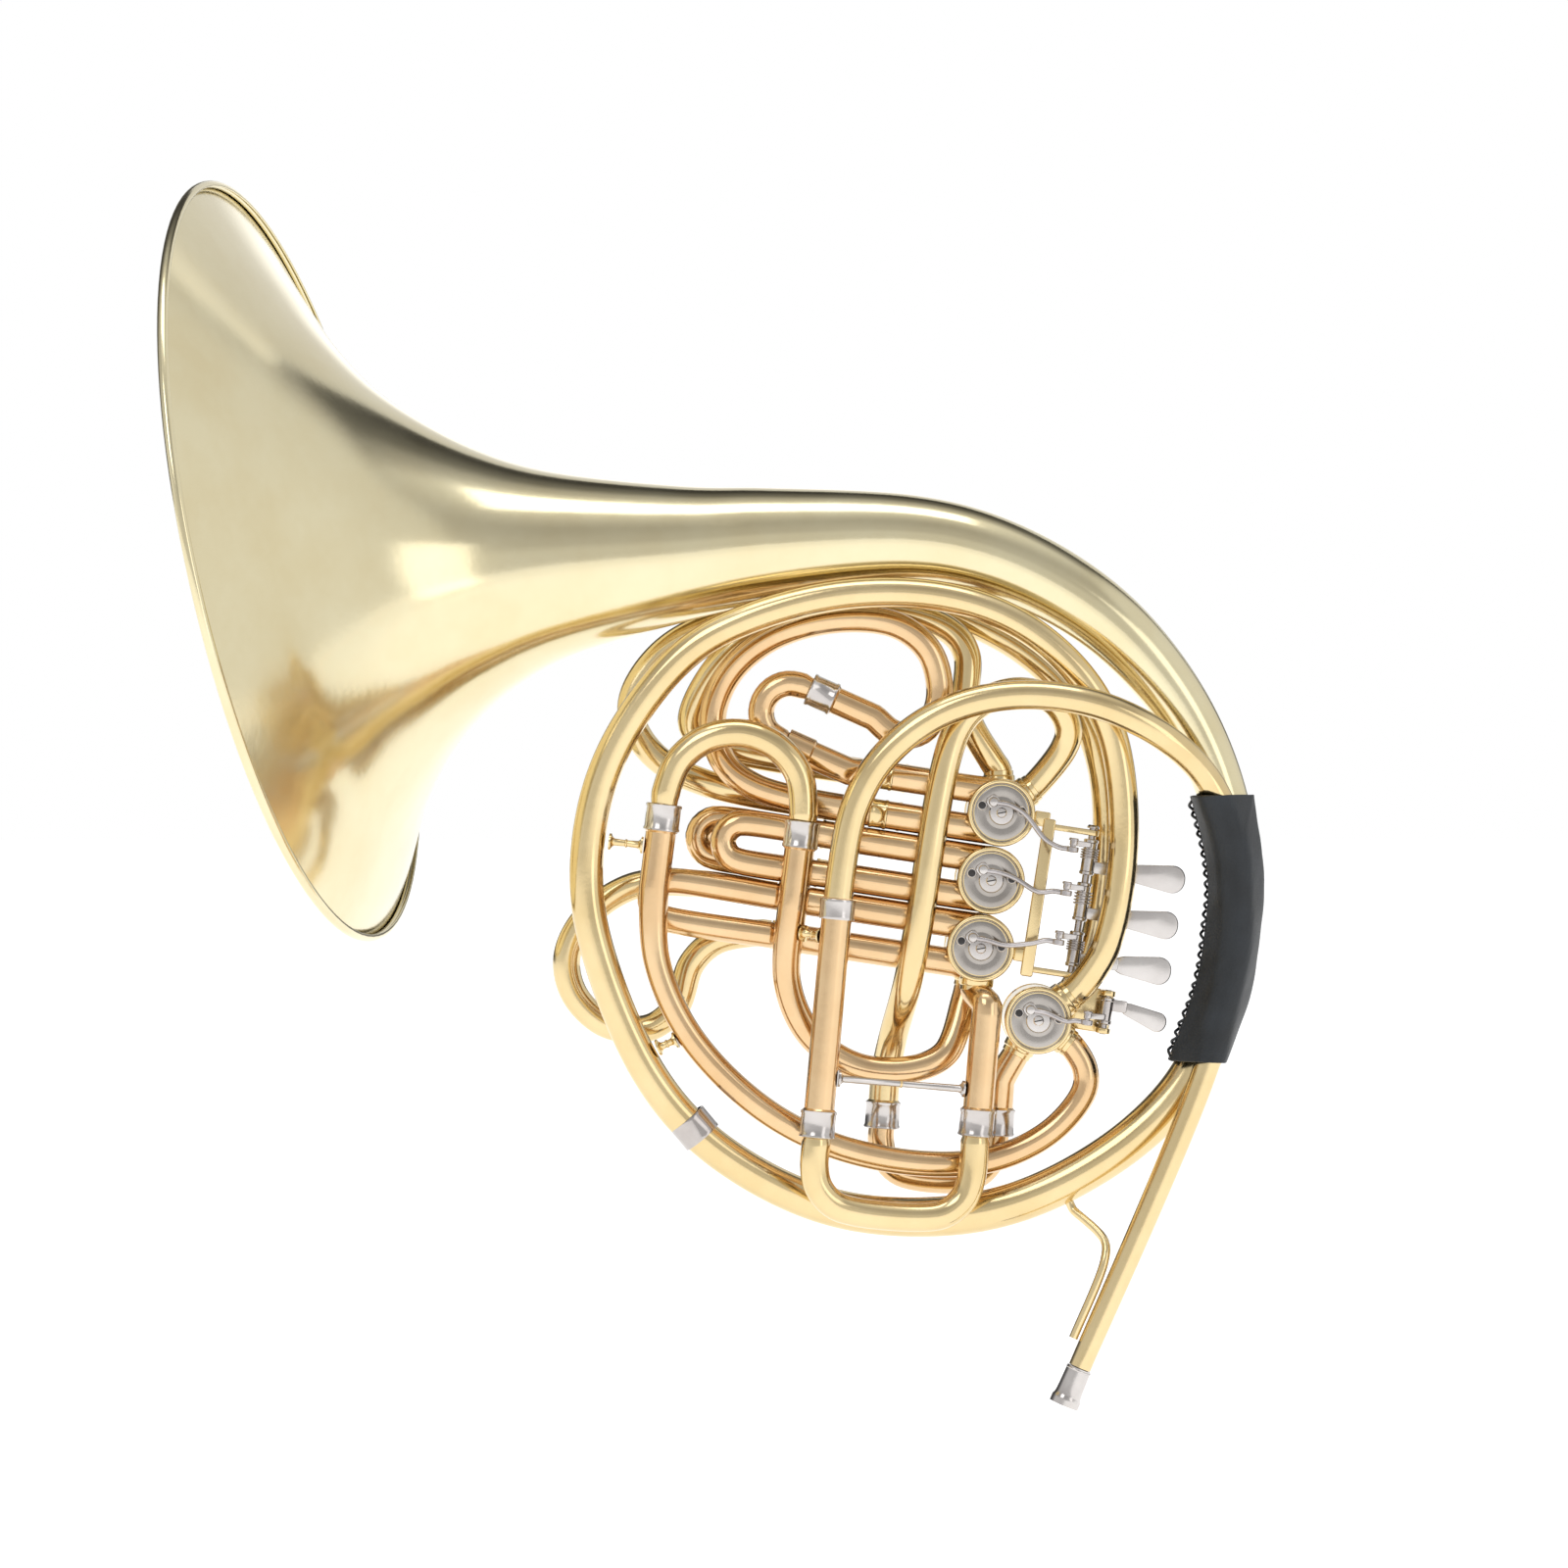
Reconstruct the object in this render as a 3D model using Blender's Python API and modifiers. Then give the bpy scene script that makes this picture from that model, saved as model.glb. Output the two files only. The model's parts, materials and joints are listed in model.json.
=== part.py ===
"""Double french horn, seen from the side that shows its valves and levers.

Units in this file are millimetres until mm() turns them into Blender's metres.
World frame: x to the right, y away from the viewer, z up. The origin is the middle
of the leather hand guard, where the left hand holds the horn.
"""
import math

import bmesh
import bpy
from mathutils import Matrix, Vector

# Clearances
GAP = 0.3                   # between pieces that touch or slide on each other
STUB = 3.0                  # straight end of a tube before it meets another piece
TURN = math.radians(36)     # bend of a tube between two of its rings
STRAY = 1.5                 # a straight run's distance from the spine it stands for
RING_SPACING = 0.8          # least distance between rings of a bent tube, as a share of its radius
CURVE_STEPS = 10            # points of a spine between two of the places it is drawn through

# Bell
BELL_RADIUS = 156.0
BELL_WALL = 0.6
BELL_SIDES = 24
BELL_DEPTH = 33.0           # how far the rim's centre lies behind the hand guard
RIM_WIRE_RADIUS = 1.3
TAIL_RADIUS = 9.0           # where the bell's tail meets the first branch
TAIL_DEPTH = 4.0

# Tubing
WALL = 0.5
MAIN_RADIUS = 5.9           # main bore tubing, outside
SLEEVE_RADIUS = 6.1         # outer tube of a tuning slide
LOOP_RADIUS = 5.6           # valve loops
VALVE_SLEEVE_RADIUS = 5.6
SECOND_RADIUS = 5.3
RECEIVER_RADIUS = 5.6
RECEIVER_LENGTH = 16.0
MOUTH_RADIUS = 4.6          # leadpipe at its receiver

# Layers, front to back
LEADPIPE_LAYER = -26.5
F_LAYER = -14.0
FIRST_SLIDE_LAYER = -1.5
VALVE_LAYER = 2.0
BB_SLIDE_LAYER = 14.0
REAR_LAYER = 20.0

# Valve section, tilted about y
SECTION_X = -100.3
SECTION_Z = -1.2
SECTION_TILT = 8.7          # degrees
VALVE_PITCH = 27.5
CASING_RADIUS = 13.6
CASING_FRONT = -14.0
CASING_BACK = 30.0
CASING_WALL = 1.3
CASING_SIDES = 16
FRONT_PLATE = 2.0
LEG_OFFSET = 7.85           # half the distance between a valve slide's legs
THUMB_X = 27.2
THUMB_Z = -52.6

# Tuning slides
MAIN_TRAVEL = 40.0
F_TRAVEL = 18.0
BB_TRAVEL = 10.0
LEG_KEPT = 8.0              # length of leg that stays in its sleeve when pulled out


def mm(*values):
    """Millimetres to a Blender vector in metres."""
    return Vector(values) * 0.001


def clear_scene():
    for thing in list(bpy.data.objects):
        bpy.data.objects.remove(thing, do_unlink=True)


def new_collection(name):
    group = bpy.data.collections.new(name)
    bpy.context.scene.collection.children.link(group)
    return group


def material(name, colour, roughness, metallic):
    made = bpy.data.materials.new(name)
    made.use_nodes = True
    shader = made.node_tree.nodes["Principled BSDF"]
    shader.inputs["Base Color"].default_value = (*colour, 1.0)
    shader.inputs["Roughness"].default_value = roughness
    shader.inputs["Metallic"].default_value = metallic
    return made


clear_scene()
HORN = new_collection("double_french_horn")
CUTTERS = new_collection("cutters")

BRASS = (0.78, 0.60, 0.30)
ROSE_BRASS = (0.74, 0.50, 0.28)
NICKEL = (0.66, 0.65, 0.64)
STEEL = (0.45, 0.44, 0.44)
LEATHER = (0.012, 0.014, 0.018)
FINISH = {
    "brass": (BRASS, 0.18, 1.0),
    "rose": (ROSE_BRASS, 0.22, 1.0),
    "nickel": (NICKEL, 0.2, 1.0),
    "steel": (STEEL, 0.3, 1.0),
    "leather": (LEATHER, 0.65, 0.0),
}


def finish(thing, kind):
    """Gives an object a material of its own in one of the horn's finishes."""
    thing.data.materials.clear()
    thing.data.materials.append(material(thing.name + "_" + kind, *FINISH[kind]))
    return thing


# Routes

def lerp(a, b, share):
    return a + (b - a) * share


def smooth(points, start=None, end=None):
    """Catmull-Rom curve through (x, y, z, radius) points, with chosen end directions."""
    first = Vector(points[0][:3]) + (start.normalized() * STUB if start else Vector())
    last = Vector(points[-1][:3]) - (end.normalized() * STUB if end else Vector())
    ahead = Vector(points[1][:3])
    behind = Vector(points[-2][:3])
    lead_in = first - start.normalized() * (ahead - first).length if start else first * 2 - ahead
    run_out = last + end.normalized() * (last - behind).length if end else last * 2 - behind
    bends = [(*first, points[0][3])] + list(points[1:-1]) + [(*last, points[-1][3])]
    knots = [(*lead_in, points[0][3])] + bends + [(*run_out, points[-1][3])]
    knots = [Vector(knot) for knot in knots]
    route = [Vector(points[0])] if start else []
    for before, here, there, after in zip(knots, knots[1:], knots[2:], knots[3:]):
        for step in range(CURVE_STEPS):
            t = step / CURVE_STEPS
            route.append(0.5 * (2 * here + (there - before) * t
                                + (2 * before - 5 * here + 4 * there - after) * t ** 2
                                + (3 * here - before - 3 * there + after) * t ** 3))
    route.append(Vector(bends[-1]))
    if end:
        route.append(Vector(points[-1]))
    return route


def stray(route, low, high):
    """How far a spine's points between two of its rings lie from the straight run."""
    start, run = route[low].xyz, (route[high] - route[low]).xyz
    return max((((point.xyz - start).cross(run)).length / run.length for point in route[low + 1:high]),
               default=0.0)


def thin(route):
    """Keeps a ring where the tube has turned by TURN or would stray from its spine."""
    kept = [0, 1]
    heading = (route[1] - route[0]).xyz.normalized()
    for k in range(2, len(route) - 2):
        here = route[k]
        direction = (route[k + 1] - here).xyz.normalized()
        spaced = min((here - route[kept[-1]]).length, (here - route[-2]).length) > here.w * RING_SPACING
        if spaced and (direction.angle(heading, 0.0) > TURN or stray(route, kept[-1], k + 1) > STRAY):
            kept.append(k)
            heading = direction
    return [route[k] for k in kept] + route[-2:]


def rounded(corners, radius, bend):
    """Straight runs between corner points, joined by arcs of one bend radius."""
    corners = [Vector(corner) for corner in corners]
    route = [corners[0]]
    for before, corner, after in zip(corners, corners[1:], corners[2:]):
        towards = (before - corner).normalized()
        onward = (after - corner).normalized()
        half = towards.angle(onward) / 2
        bisector = (towards + onward).normalized()
        centre = corner + bisector * bend / math.sin(half)
        enter = corner + towards * bend / math.tan(half)
        leave = corner + onward * bend / math.tan(half)
        swing = (enter - centre).angle(leave - centre)
        axis = (enter - centre).cross(leave - centre).normalized()
        count = max(2, math.ceil(swing / math.radians(31)))
        for step in range(count + 1):
            turned = Matrix.Rotation(swing * step / count, 3, axis) @ (enter - centre)
            route.append(centre + turned)
    route.append(corners[-1])
    spaced = [here for here, there in zip(route, route[1:]) if (there - here).length > radius / 2]
    return [Vector((*point, radius)) for point in spaced + route[-1:]]


def points_of(route):
    return [Vector(point).to_4d() if len(point) == 3 else Vector(point) for point in route]


ROUTES = {}


def sweep(name, route, kind="brass", wall=WALL, sides=8):
    """A tube: a poly curve with a round bevel, and its wall set inward by Solidify.

    The curve lies in its object's XY plane, which is turned upright, so every tube's
    rings stand the same way and a leg's facets match those of its sleeve.
    """
    ROUTES[name] = route
    widest = max(point.w for point in route)
    curve = bpy.data.curves.new(name, "CURVE")
    curve.dimensions = "3D"
    curve.twist_mode = "Z_UP"
    curve.bevel_depth = widest * 0.001
    curve.bevel_resolution = (sides - 4) // 2
    curve.use_fill_caps = wall is None
    spline = curve.splines.new("POLY")
    spline.points.add(len(route) - 1)
    for knot, point in zip(spline.points, route):
        knot.co = (*mm(point.x, point.z, -point.y), 1.0)
        knot.radius = point.w / widest
    spline.use_smooth = True
    tube = bpy.data.objects.new(name, curve)
    tube.rotation_euler = (math.pi / 2, 0, 0)
    HORN.objects.link(tube)
    if wall is not None:
        shell = tube.modifiers.new("Wall", "SOLIDIFY")
        shell.thickness = wall * 0.001
        shell.offset = -1
        shell.use_even_offset = True
    return finish(tube, kind)


# The valve section's own frame: across to the right, along up the row of valves

TILT = math.radians(SECTION_TILT)
ACROSS = Vector((math.cos(TILT), 0, -math.sin(TILT)))
ALONG = Vector((math.sin(TILT), 0, math.cos(TILT)))
SECTION = Vector((SECTION_X, 0, SECTION_Z))
VALVES = {
    "1": (0.0, VALVE_PITCH),
    "2": (0.0, 0.0),
    "3": (0.0, -VALVE_PITCH),
    "thumb": (THUMB_X, THUMB_Z),
}


def section_point(across, depth, along):
    """A point given in the valve section's frame, in world millimetres."""
    return SECTION + ACROSS * across + ALONG * along + Vector((0, depth, 0))


def port(valve, angle, depth, out=0.0):
    """A point just off a casing's wall; angle in degrees from across, towards along."""
    across, along = VALVES[valve]
    reach = CASING_RADIUS + GAP + out
    turn = math.radians(angle)
    return section_point(across + reach * math.cos(turn), depth, along + reach * math.sin(turn))


def port_axis(angle):
    """Direction out of a casing at an angle."""
    turn = math.radians(angle)
    return ACROSS * math.cos(turn) + ALONG * math.sin(turn)


def at(point, radius):
    return (*point, radius)


def adopt(name, kind):
    """Names the primitive just added, and moves it to the horn's collection."""
    thing = bpy.context.object
    thing.name = name
    thing.data.name = name
    for group in list(thing.users_collection):
        group.objects.unlink(thing)
    HORN.objects.link(thing)
    return finish(thing, kind)


# Bell: rings lofted along its spine, each with its centre, radius and the way it faces

# Distance of each ring's centre left of the guard, its height, radius, and pitch and yaw
# of its face in degrees. The first is the mouth, the last is the tail in the guard.
# The flare's radii are shares of the mouth's.
BELL_STATIONS = [
    (384.3, 128.2, BELL_RADIUS, 191.9, 10.6),
    (374.0, 124.0, BELL_RADIUS * 0.878, 191.6, 10.4),
    (365.2, 122.4, BELL_RADIUS * 0.770, 191.3, 10.2),
    (356.7, 122.4, BELL_RADIUS * 0.667, 191.2, 9.9),
    (337.7, 123.6, BELL_RADIUS * 0.501, 191.4, 9.2),
    (317.6, 124.8, BELL_RADIUS * 0.385, 190.8, 8.2),
    (297.8, 125.6, BELL_RADIUS * 0.304, 189.6, 7.2),
    (276.1, 127.0, BELL_RADIUS * 0.2455, 188.0, 6.0),
    (220.4, 131.2, 26.9, 184.5, 3.6),
    (190.0, 134.2, 23.2, 183.5, 2.4),
    (132.0, 136.0, 18.2, 174.5, 0.5),
    (104.3, 131.0, 16.6, 162.5, 0.0),
    (76.0, 119.0, 15.2, 150.0, 0.0),
    (52.0, 102.6, 13.9, 138.0, 0.0),
    (31.6, 81.0, 12.4, 127.5, 0.0),
    (16.0, 57.0, 10.9, 117.0, 0.0),
    (5.4, 30.0, 9.8, 104.0, 0.0),
    (0.0, 0.0, TAIL_RADIUS, 90.0, 0.0),
]
BELL_START = 104.3          # left of here the spine drifts back to the rim's depth


def bell_depth(left):
    """Depth of the bell's spine, level over the circle and sloping back to the mouth."""
    span = BELL_STATIONS[0][0] - BELL_START
    share = max(0.0, left - BELL_START) / span
    return TAIL_DEPTH + (BELL_DEPTH - TAIL_DEPTH) * share ** 1.5


def facing(pitch, yaw):
    """Unit vector out of a ring's face."""
    pitch, yaw = math.radians(pitch), math.radians(yaw)
    return Vector((math.cos(pitch) * math.cos(yaw), math.sin(yaw), math.sin(pitch) * math.cos(yaw)))


def ring_matrix(centre, outward):
    """Frame of a ring: local z out of its face, local y towards the back of the horn."""
    back = (Vector((0, 1, 0)) - outward * outward.y).normalized()
    side = back.cross(outward)
    turn = Matrix((side, back, outward)).transposed().to_4x4()
    return Matrix.Translation(mm(*centre)) @ turn


def loft(name, rings, kind):
    """A surface bridged between circles, each a pair of matrix and radius."""
    body = bmesh.new()
    loops = []
    for place, radius in rings:
        made = bmesh.ops.create_circle(body, segments=BELL_SIDES, radius=radius * 0.001, matrix=place)
        verts = made["verts"]
        loops.append([edge for edge in body.edges if edge.verts[0] in verts and edge.verts[1] in verts])
    for first, second in zip(loops, loops[1:]):
        bmesh.ops.bridge_loops(body, edges=first + second)
    bmesh.ops.recalc_face_normals(body, faces=body.faces)
    tail = loops[-1][0].link_faces[0]
    if tail.normal.dot(tail.calc_center_median() - rings[-1][0].translation) < 0:
        bmesh.ops.reverse_faces(body, faces=body.faces)
    mesh = bpy.data.meshes.new(name)
    body.to_mesh(mesh)
    body.free()
    mesh.shade_smooth()
    thing = bpy.data.objects.new(name, mesh)
    HORN.objects.link(thing)
    return finish(thing, kind)


MOUTH = ring_matrix(
    (-BELL_STATIONS[0][0], bell_depth(BELL_STATIONS[0][0]), BELL_STATIONS[0][1]),
    facing(*BELL_STATIONS[0][3:]))
CURL = RIM_WIRE_RADIUS + GAP
EDGE_SLOPE = math.radians(62)       # of the flare at its edge, from the mouth's axis
CURL_END = math.radians(230)


def mouth_ring(out, forward):
    """A ring about the mouth's axis, placed from the bell's edge."""
    return MOUTH @ Matrix.Translation(mm(0, 0, forward)), BELL_RADIUS + out


def make_bell():
    """The flare's edge rolls back over the rim wire; the wall is set inward."""
    outward, forward = math.sin(EDGE_SLOPE), math.cos(EDGE_SLOPE)
    curl_steps = 4
    rings = []
    for step in range(curl_steps, 0, -1):
        turn = CURL_END * step / curl_steps
        rings.append(mouth_ring(
            CURL * (forward * (1 - math.cos(turn)) + outward * math.sin(turn)),
            CURL * (-outward * (1 - math.cos(turn)) + forward * math.sin(turn))))
    for left, height, radius, pitch, yaw in BELL_STATIONS:
        place = ring_matrix((-left, bell_depth(left), height), facing(pitch, yaw))
        rings.append((place, radius))
    bell = loft("bell", rings, "brass")
    shell = bell.modifiers.new("Wall", "SOLIDIFY")
    shell.thickness = BELL_WALL * 0.001
    shell.offset = -1


def make_rim_wire():
    """The wire inside the rolled edge, its facets in step with the bell's."""
    outward, forward = math.sin(EDGE_SLOPE), math.cos(EDGE_SLOPE)
    bpy.ops.mesh.primitive_torus_add(
        major_radius=(BELL_RADIUS + CURL * forward) * 0.001, minor_radius=RIM_WIRE_RADIUS * 0.001,
        major_segments=BELL_SIDES, minor_segments=6)
    wire = adopt("rim_wire", "brass")
    wire.matrix_world = MOUTH @ Matrix.Translation(mm(0, 0, -CURL * outward))


# Fixed tubing

def tail_route():
    """Spine of the bell's tail and the first branch through the hand guard."""
    return [
        (0.0, TAIL_DEPTH, -GAP),
        (-1.2, TAIL_DEPTH, -22.0),
        (-4.7, 3.5, -43.5),
        (-21.3, 2.0, -83.0),
    ]


def make_branch():
    """First branch: the large circle, tapering from the guard round to the thumb valve."""
    taper = [9.0, 8.95, 8.9, 8.7]
    points = [at(point, radius) for point, radius in zip(tail_route(), taper)]
    points += [
        (-52.9, 0.0, -112.6, 8.5),
        (-96.4, -1.0, -133.1, 8.3),
        (-143.8, -1.0, -136.4, 7.9),
        (-183.3, -5.0, -125.6, 7.6),
        (-222.8, -10.0, -98.0, 7.2),
        (-248.1, -12.0, -57.3, 6.9),
        (-262.5, -12.0, -4.0, 6.8),
        (-253.5, -12.0, 47.0, 6.6),
        (-222.8, -12.0, 89.7, 6.4),
        (-183.0, -12.0, 108.5, 6.2),
        (-143.8, -12.0, 114.2, 6.1),
        (-104.3, -12.0, 109.0, 6.0),
        (-72.7, -11.5, 89.7, 6.0),
        (-52.9, -11.0, 61.2, 6.0),
        (-47.0, -11.0, 21.7, 6.0),
        (-49.8, -11.0, -9.9, 6.0),
        (-56.8, -11.0, -34.0, 6.0),
    ]
    entry = 46.0
    points.append(at(port("thumb", entry, -8.0), 5.9))
    sweep("first_branch", thin(smooth(points, Vector((0, 0, -1)), -port_axis(entry))))


LEADPIPE_INSET = TAIL_RADIUS + 2 * GAP + 5.6    # leadpipe's centre ahead of the tail's, in the guard
RECEIVER_END = Vector((-71.4, -18.0, -210.9))
LEADPIPE_END = Vector((-161.6, LEADPIPE_LAYER, -7.9))
MAIN_SLIDE_AXIS = Vector((-0.0906, 0.0, -0.9959))


def make_leadpipe():
    """Mouthpipe from the receiver through the guard, over the top and down to its slide."""
    lean = Vector((24.0, 0.0, 56.0)).normalized()
    start = RECEIVER_END + lean * RECEIVER_LENGTH
    points = [
        at(start + lean * GAP, MOUTH_RADIUS),
        (-49.0, -17.0, -158.0, 4.8),
        (-21.0, -14.0, -95.0, 5.1),
        (-6.0, TAIL_DEPTH - LEADPIPE_INSET, -49.0, 5.3),
        (-1.2, TAIL_DEPTH - LEADPIPE_INSET, -18.0, 5.4),
        (-2.5, TAIL_DEPTH - LEADPIPE_INSET, 12.0, 5.5),
        (-12.5, -13.5, 38.0, 5.6),
        (-31.0, -21.5, 56.0, 5.7),
        (-60.0, LEADPIPE_LAYER, 69.6, 5.8),
        (-93.0, LEADPIPE_LAYER, 72.8, MAIN_RADIUS),
        (-124.0, LEADPIPE_LAYER, 64.0, MAIN_RADIUS),
        (-147.0, LEADPIPE_LAYER, 44.0, MAIN_RADIUS),
        (-157.6, LEADPIPE_LAYER, 20.0, MAIN_RADIUS),
        at(LEADPIPE_END, MAIN_RADIUS),
    ]
    sweep("leadpipe", thin(smooth(points, lean, MAIN_SLIDE_AXIS)))
    bulge = [
        at(RECEIVER_END, RECEIVER_RADIUS + 0.5),
        at(RECEIVER_END + lean * 3.0, RECEIVER_RADIUS + 0.5),
        at(RECEIVER_END + lean * 4.0, RECEIVER_RADIUS),
        at(RECEIVER_END + lean * RECEIVER_LENGTH, RECEIVER_RADIUS - 0.6),
    ]
    sweep("receiver", points_of(bulge), "nickel", wall=1.2, sides=12)


# Tuning slides: each has two sleeves, and a bow whose legs run inside them

FERRULE_LENGTH = 11.0
FERRULE_STEP = 0.7
BOW_RADIUS = 5.8            # outside of a bow, wider than its legs
LEG_RADIUS = SLEEVE_RADIUS - WALL - GAP
SHOULDER = 1.5


def ferrule_end(mouth, inward, radius):
    """The last stretch of a sleeve, thickened by the ferrule at its mouth."""
    wide = radius + FERRULE_STEP
    return [
        at(mouth + inward * (FERRULE_LENGTH + FERRULE_STEP), radius),
        at(mouth + inward * FERRULE_LENGTH, wide),
        at(mouth, wide),
    ]


def bow_route(left, right, out, leg, drop, bend, radius=BOW_RADIUS, thin_radius=None):
    """A slide's bow: leg ends inside the sleeves, a step in radius, and two rounded corners.

    left and right are the sleeves' mouths, out the way the slide pulls, leg the length
    in each sleeve and drop how far the bow reaches past the mouths.
    """
    inner = thin_radius or LEG_RADIUS
    rim = out * GAP
    middle = (left + right) / 2
    far = max((left - middle).dot(out), (right - middle).dot(out)) + drop
    corner_left = left + out * (far - (left - middle).dot(out))
    corner_right = right + out * (far - (right - middle).dot(out))
    bent = rounded([left + rim + out * SHOULDER, corner_left, corner_right,
                    right + rim + out * SHOULDER], radius, bend)
    start = [Vector(at(left - out * leg, inner)), Vector(at(left + rim, inner))]
    finish_leg = [Vector(at(right + rim, inner)), Vector(at(right - out * leg, inner))]
    return start + bent + finish_leg


MAIN_LEG = MAIN_TRAVEL + LEG_KEPT
MAIN_LEFT_SLEEVE = 96.0
MAIN_LEFT_MOUTH = LEADPIPE_END + MAIN_SLIDE_AXIS * MAIN_LEFT_SLEEVE
MAIN_RIGHT_MOUTH = Vector((-106.6, F_LAYER - 1.4, -103.6))     # its leg passes the large circle
MAIN_RIGHT_TOP = MAIN_RIGHT_MOUTH - MAIN_SLIDE_AXIS * (MAIN_LEG + 1.0)
MAIN_DROP = 28.3
MAIN_BEND = 18.0


def make_main_slide():
    top = LEADPIPE_END + MAIN_SLIDE_AXIS * GAP
    left = points_of([at(top, SLEEVE_RADIUS)] + ferrule_end(MAIN_LEFT_MOUTH, -MAIN_SLIDE_AXIS, SLEEVE_RADIUS))
    sweep("main_sleeve_left", left, "rose")
    entry = -88.0
    end = port("3", entry, -7.4, 0.3)
    bent = smooth([at(MAIN_RIGHT_TOP, SLEEVE_RADIUS), at(end, SLEEVE_RADIUS - 0.2)],
                  -MAIN_SLIDE_AXIS, -port_axis(entry))
    mouth = points_of(ferrule_end(MAIN_RIGHT_MOUTH, -MAIN_SLIDE_AXIS, SLEEVE_RADIUS))
    sweep("main_sleeve_right", thin(bent)[::-1] + mouth, "rose")
    bow = bow_route(MAIN_LEFT_MOUTH, MAIN_RIGHT_MOUTH, MAIN_SLIDE_AXIS, MAIN_LEG, MAIN_DROP, MAIN_BEND)
    on_axis("main_slide_axis", MAIN_LEFT_MOUTH, sweep("main_tuning_slide", bow))


F_TILT = math.radians(7.0)
F_AXIS = Vector((math.sin(F_TILT), 0, math.cos(F_TILT)))
F_ACROSS = Vector((math.cos(F_TILT), 0, -math.sin(F_TILT)))
F_CROWN = Vector((-203.0, F_LAYER, 30.0))
F_SPREAD = 28.0             # half the distance between its legs
F_SLEEVE = 30.0
F_MOUTH_DROP = 4.0          # from the crown's centre down to the sleeves' mouths
F_LEG = F_TRAVEL + LEG_KEPT


def make_f_slide():
    mouths = [F_CROWN + F_ACROSS * side * F_SPREAD - F_AXIS * F_MOUTH_DROP for side in (-1, 1)]
    feet = [mouth - F_AXIS * F_SLEEVE for mouth in mouths]
    bow = bow_route(*mouths, F_AXIS, F_LEG, F_MOUTH_DROP + F_SPREAD, F_SPREAD - 0.01)
    on_axis("f_slide_axis", mouths[0], sweep("f_tuning_slide", bow))

    entry = -28.0
    points = [
        at(feet[0], SLEEVE_RADIUS),
        (-236.0, F_LAYER, -22.0, SECOND_RADIUS + 0.3),
        (-230.7, F_LAYER, -45.0, SECOND_RADIUS),
        (-214.9, F_LAYER, -71.1, SECOND_RADIUS),
        (-183.3, -12.5, -98.5, SECOND_RADIUS),
        (-143.8, -8.0, -113.0, SECOND_RADIUS),
        (-104.3, -1.0, -114.6, SECOND_RADIUS),
        (-77.0, 1.0, -103.5, SECOND_RADIUS),
        (-61.5, 2.0, -84.0, SECOND_RADIUS),
        at(port("thumb", entry, VALVE_LAYER), SECOND_RADIUS),
    ]
    branch = thin(smooth(points, -F_AXIS, -port_axis(entry)))
    sweep("second_branch", points_of(ferrule_end(mouths[0], -F_AXIS, SLEEVE_RADIUS))[::-1] + branch, "rose")

    entry = -97.0
    points = [
        at(feet[1], SLEEVE_RADIUS),
        (-181.6, -13.0, -22.0, LOOP_RADIUS),
        (-182.0, -12.0, -42.0, LOOP_RADIUS),
        (-173.0, -10.5, -63.0, LOOP_RADIUS),
        (-155.0, -8.5, -75.5, LOOP_RADIUS),
        (-134.0, -6.5, -77.5, LOOP_RADIUS),
        (-117.0, -1.0, -69.5, LOOP_RADIUS),
        at(port("3", entry, 6.0), LOOP_RADIUS),
    ]
    feed = thin(smooth(points, -F_AXIS, -port_axis(entry)))
    sweep("f_feed", points_of(ferrule_end(mouths[1], -F_AXIS, SLEEVE_RADIUS))[::-1] + feed, "rose")


BB_AXIS = Vector((-0.07, 0.0, -0.9975)).normalized()
BB_LEFT_MOUTH = Vector((-143.8, BB_SLIDE_LAYER, -102.0))
BB_RIGHT_MOUTH = Vector((-97.4, BB_SLIDE_LAYER, -105.0))
BB_LEG = BB_TRAVEL + LEG_KEPT
BB_SLEEVE = BB_LEG + 1.0


def make_bb_slide():
    """The rear tuning slide, and the long tube that crosses in front to the first valve."""
    top = BB_LEFT_MOUTH - BB_AXIS * BB_SLEEVE
    entry = 46.0
    points = [
        at(top, SLEEVE_RADIUS),
        (-139.5, 9.0, -66.0, MAIN_RADIUS),
        (-136.0, -4.0, -52.0, MAIN_RADIUS),
        (-132.5, -12.0, -37.0, MAIN_RADIUS),
        (-129.5, F_LAYER, -20.0, MAIN_RADIUS),
        (-124.0, F_LAYER, 10.0, MAIN_RADIUS),
        (-117.0, F_LAYER, 49.0, MAIN_RADIUS),
        (-110.0, -12.0, 65.0, LOOP_RADIUS),
        (-94.0, -10.0, 74.5, LOOP_RADIUS),
        (-76.0, -5.0, 71.5, LOOP_RADIUS),
        (-68.5, 0.0, 58.5, LOOP_RADIUS),
        (-74.5, 3.0, 45.5, LOOP_RADIUS),
        at(port("1", entry, 4.0), LOOP_RADIUS),
    ]
    rise = thin(smooth(points, -BB_AXIS, -port_axis(entry)))
    sweep("bb_branch", points_of(ferrule_end(BB_LEFT_MOUTH, -BB_AXIS, SLEEVE_RADIUS))[::-1] + rise)

    entry = -110.0
    points = [
        at(BB_RIGHT_MOUTH - BB_AXIS * BB_SLEEVE, SLEEVE_RADIUS),
        at(port("thumb", entry, BB_SLIDE_LAYER), LOOP_RADIUS),
    ]
    tail = thin(smooth(points, -BB_AXIS, -port_axis(entry)))
    sweep("bb_sleeve", points_of(ferrule_end(BB_RIGHT_MOUTH, -BB_AXIS, SLEEVE_RADIUS))[::-1] + tail, "rose")
    bow = bow_route(BB_LEFT_MOUTH, BB_RIGHT_MOUTH, BB_AXIS, BB_LEG, 19.0, 15.0, 5.4)
    on_axis("bb_slide_axis", BB_LEFT_MOUTH, sweep("bb_tuning_slide", bow, "rose"))


# Valves: a casing with its slide sleeves, a screwed cap at the back and a rotor inside

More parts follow.
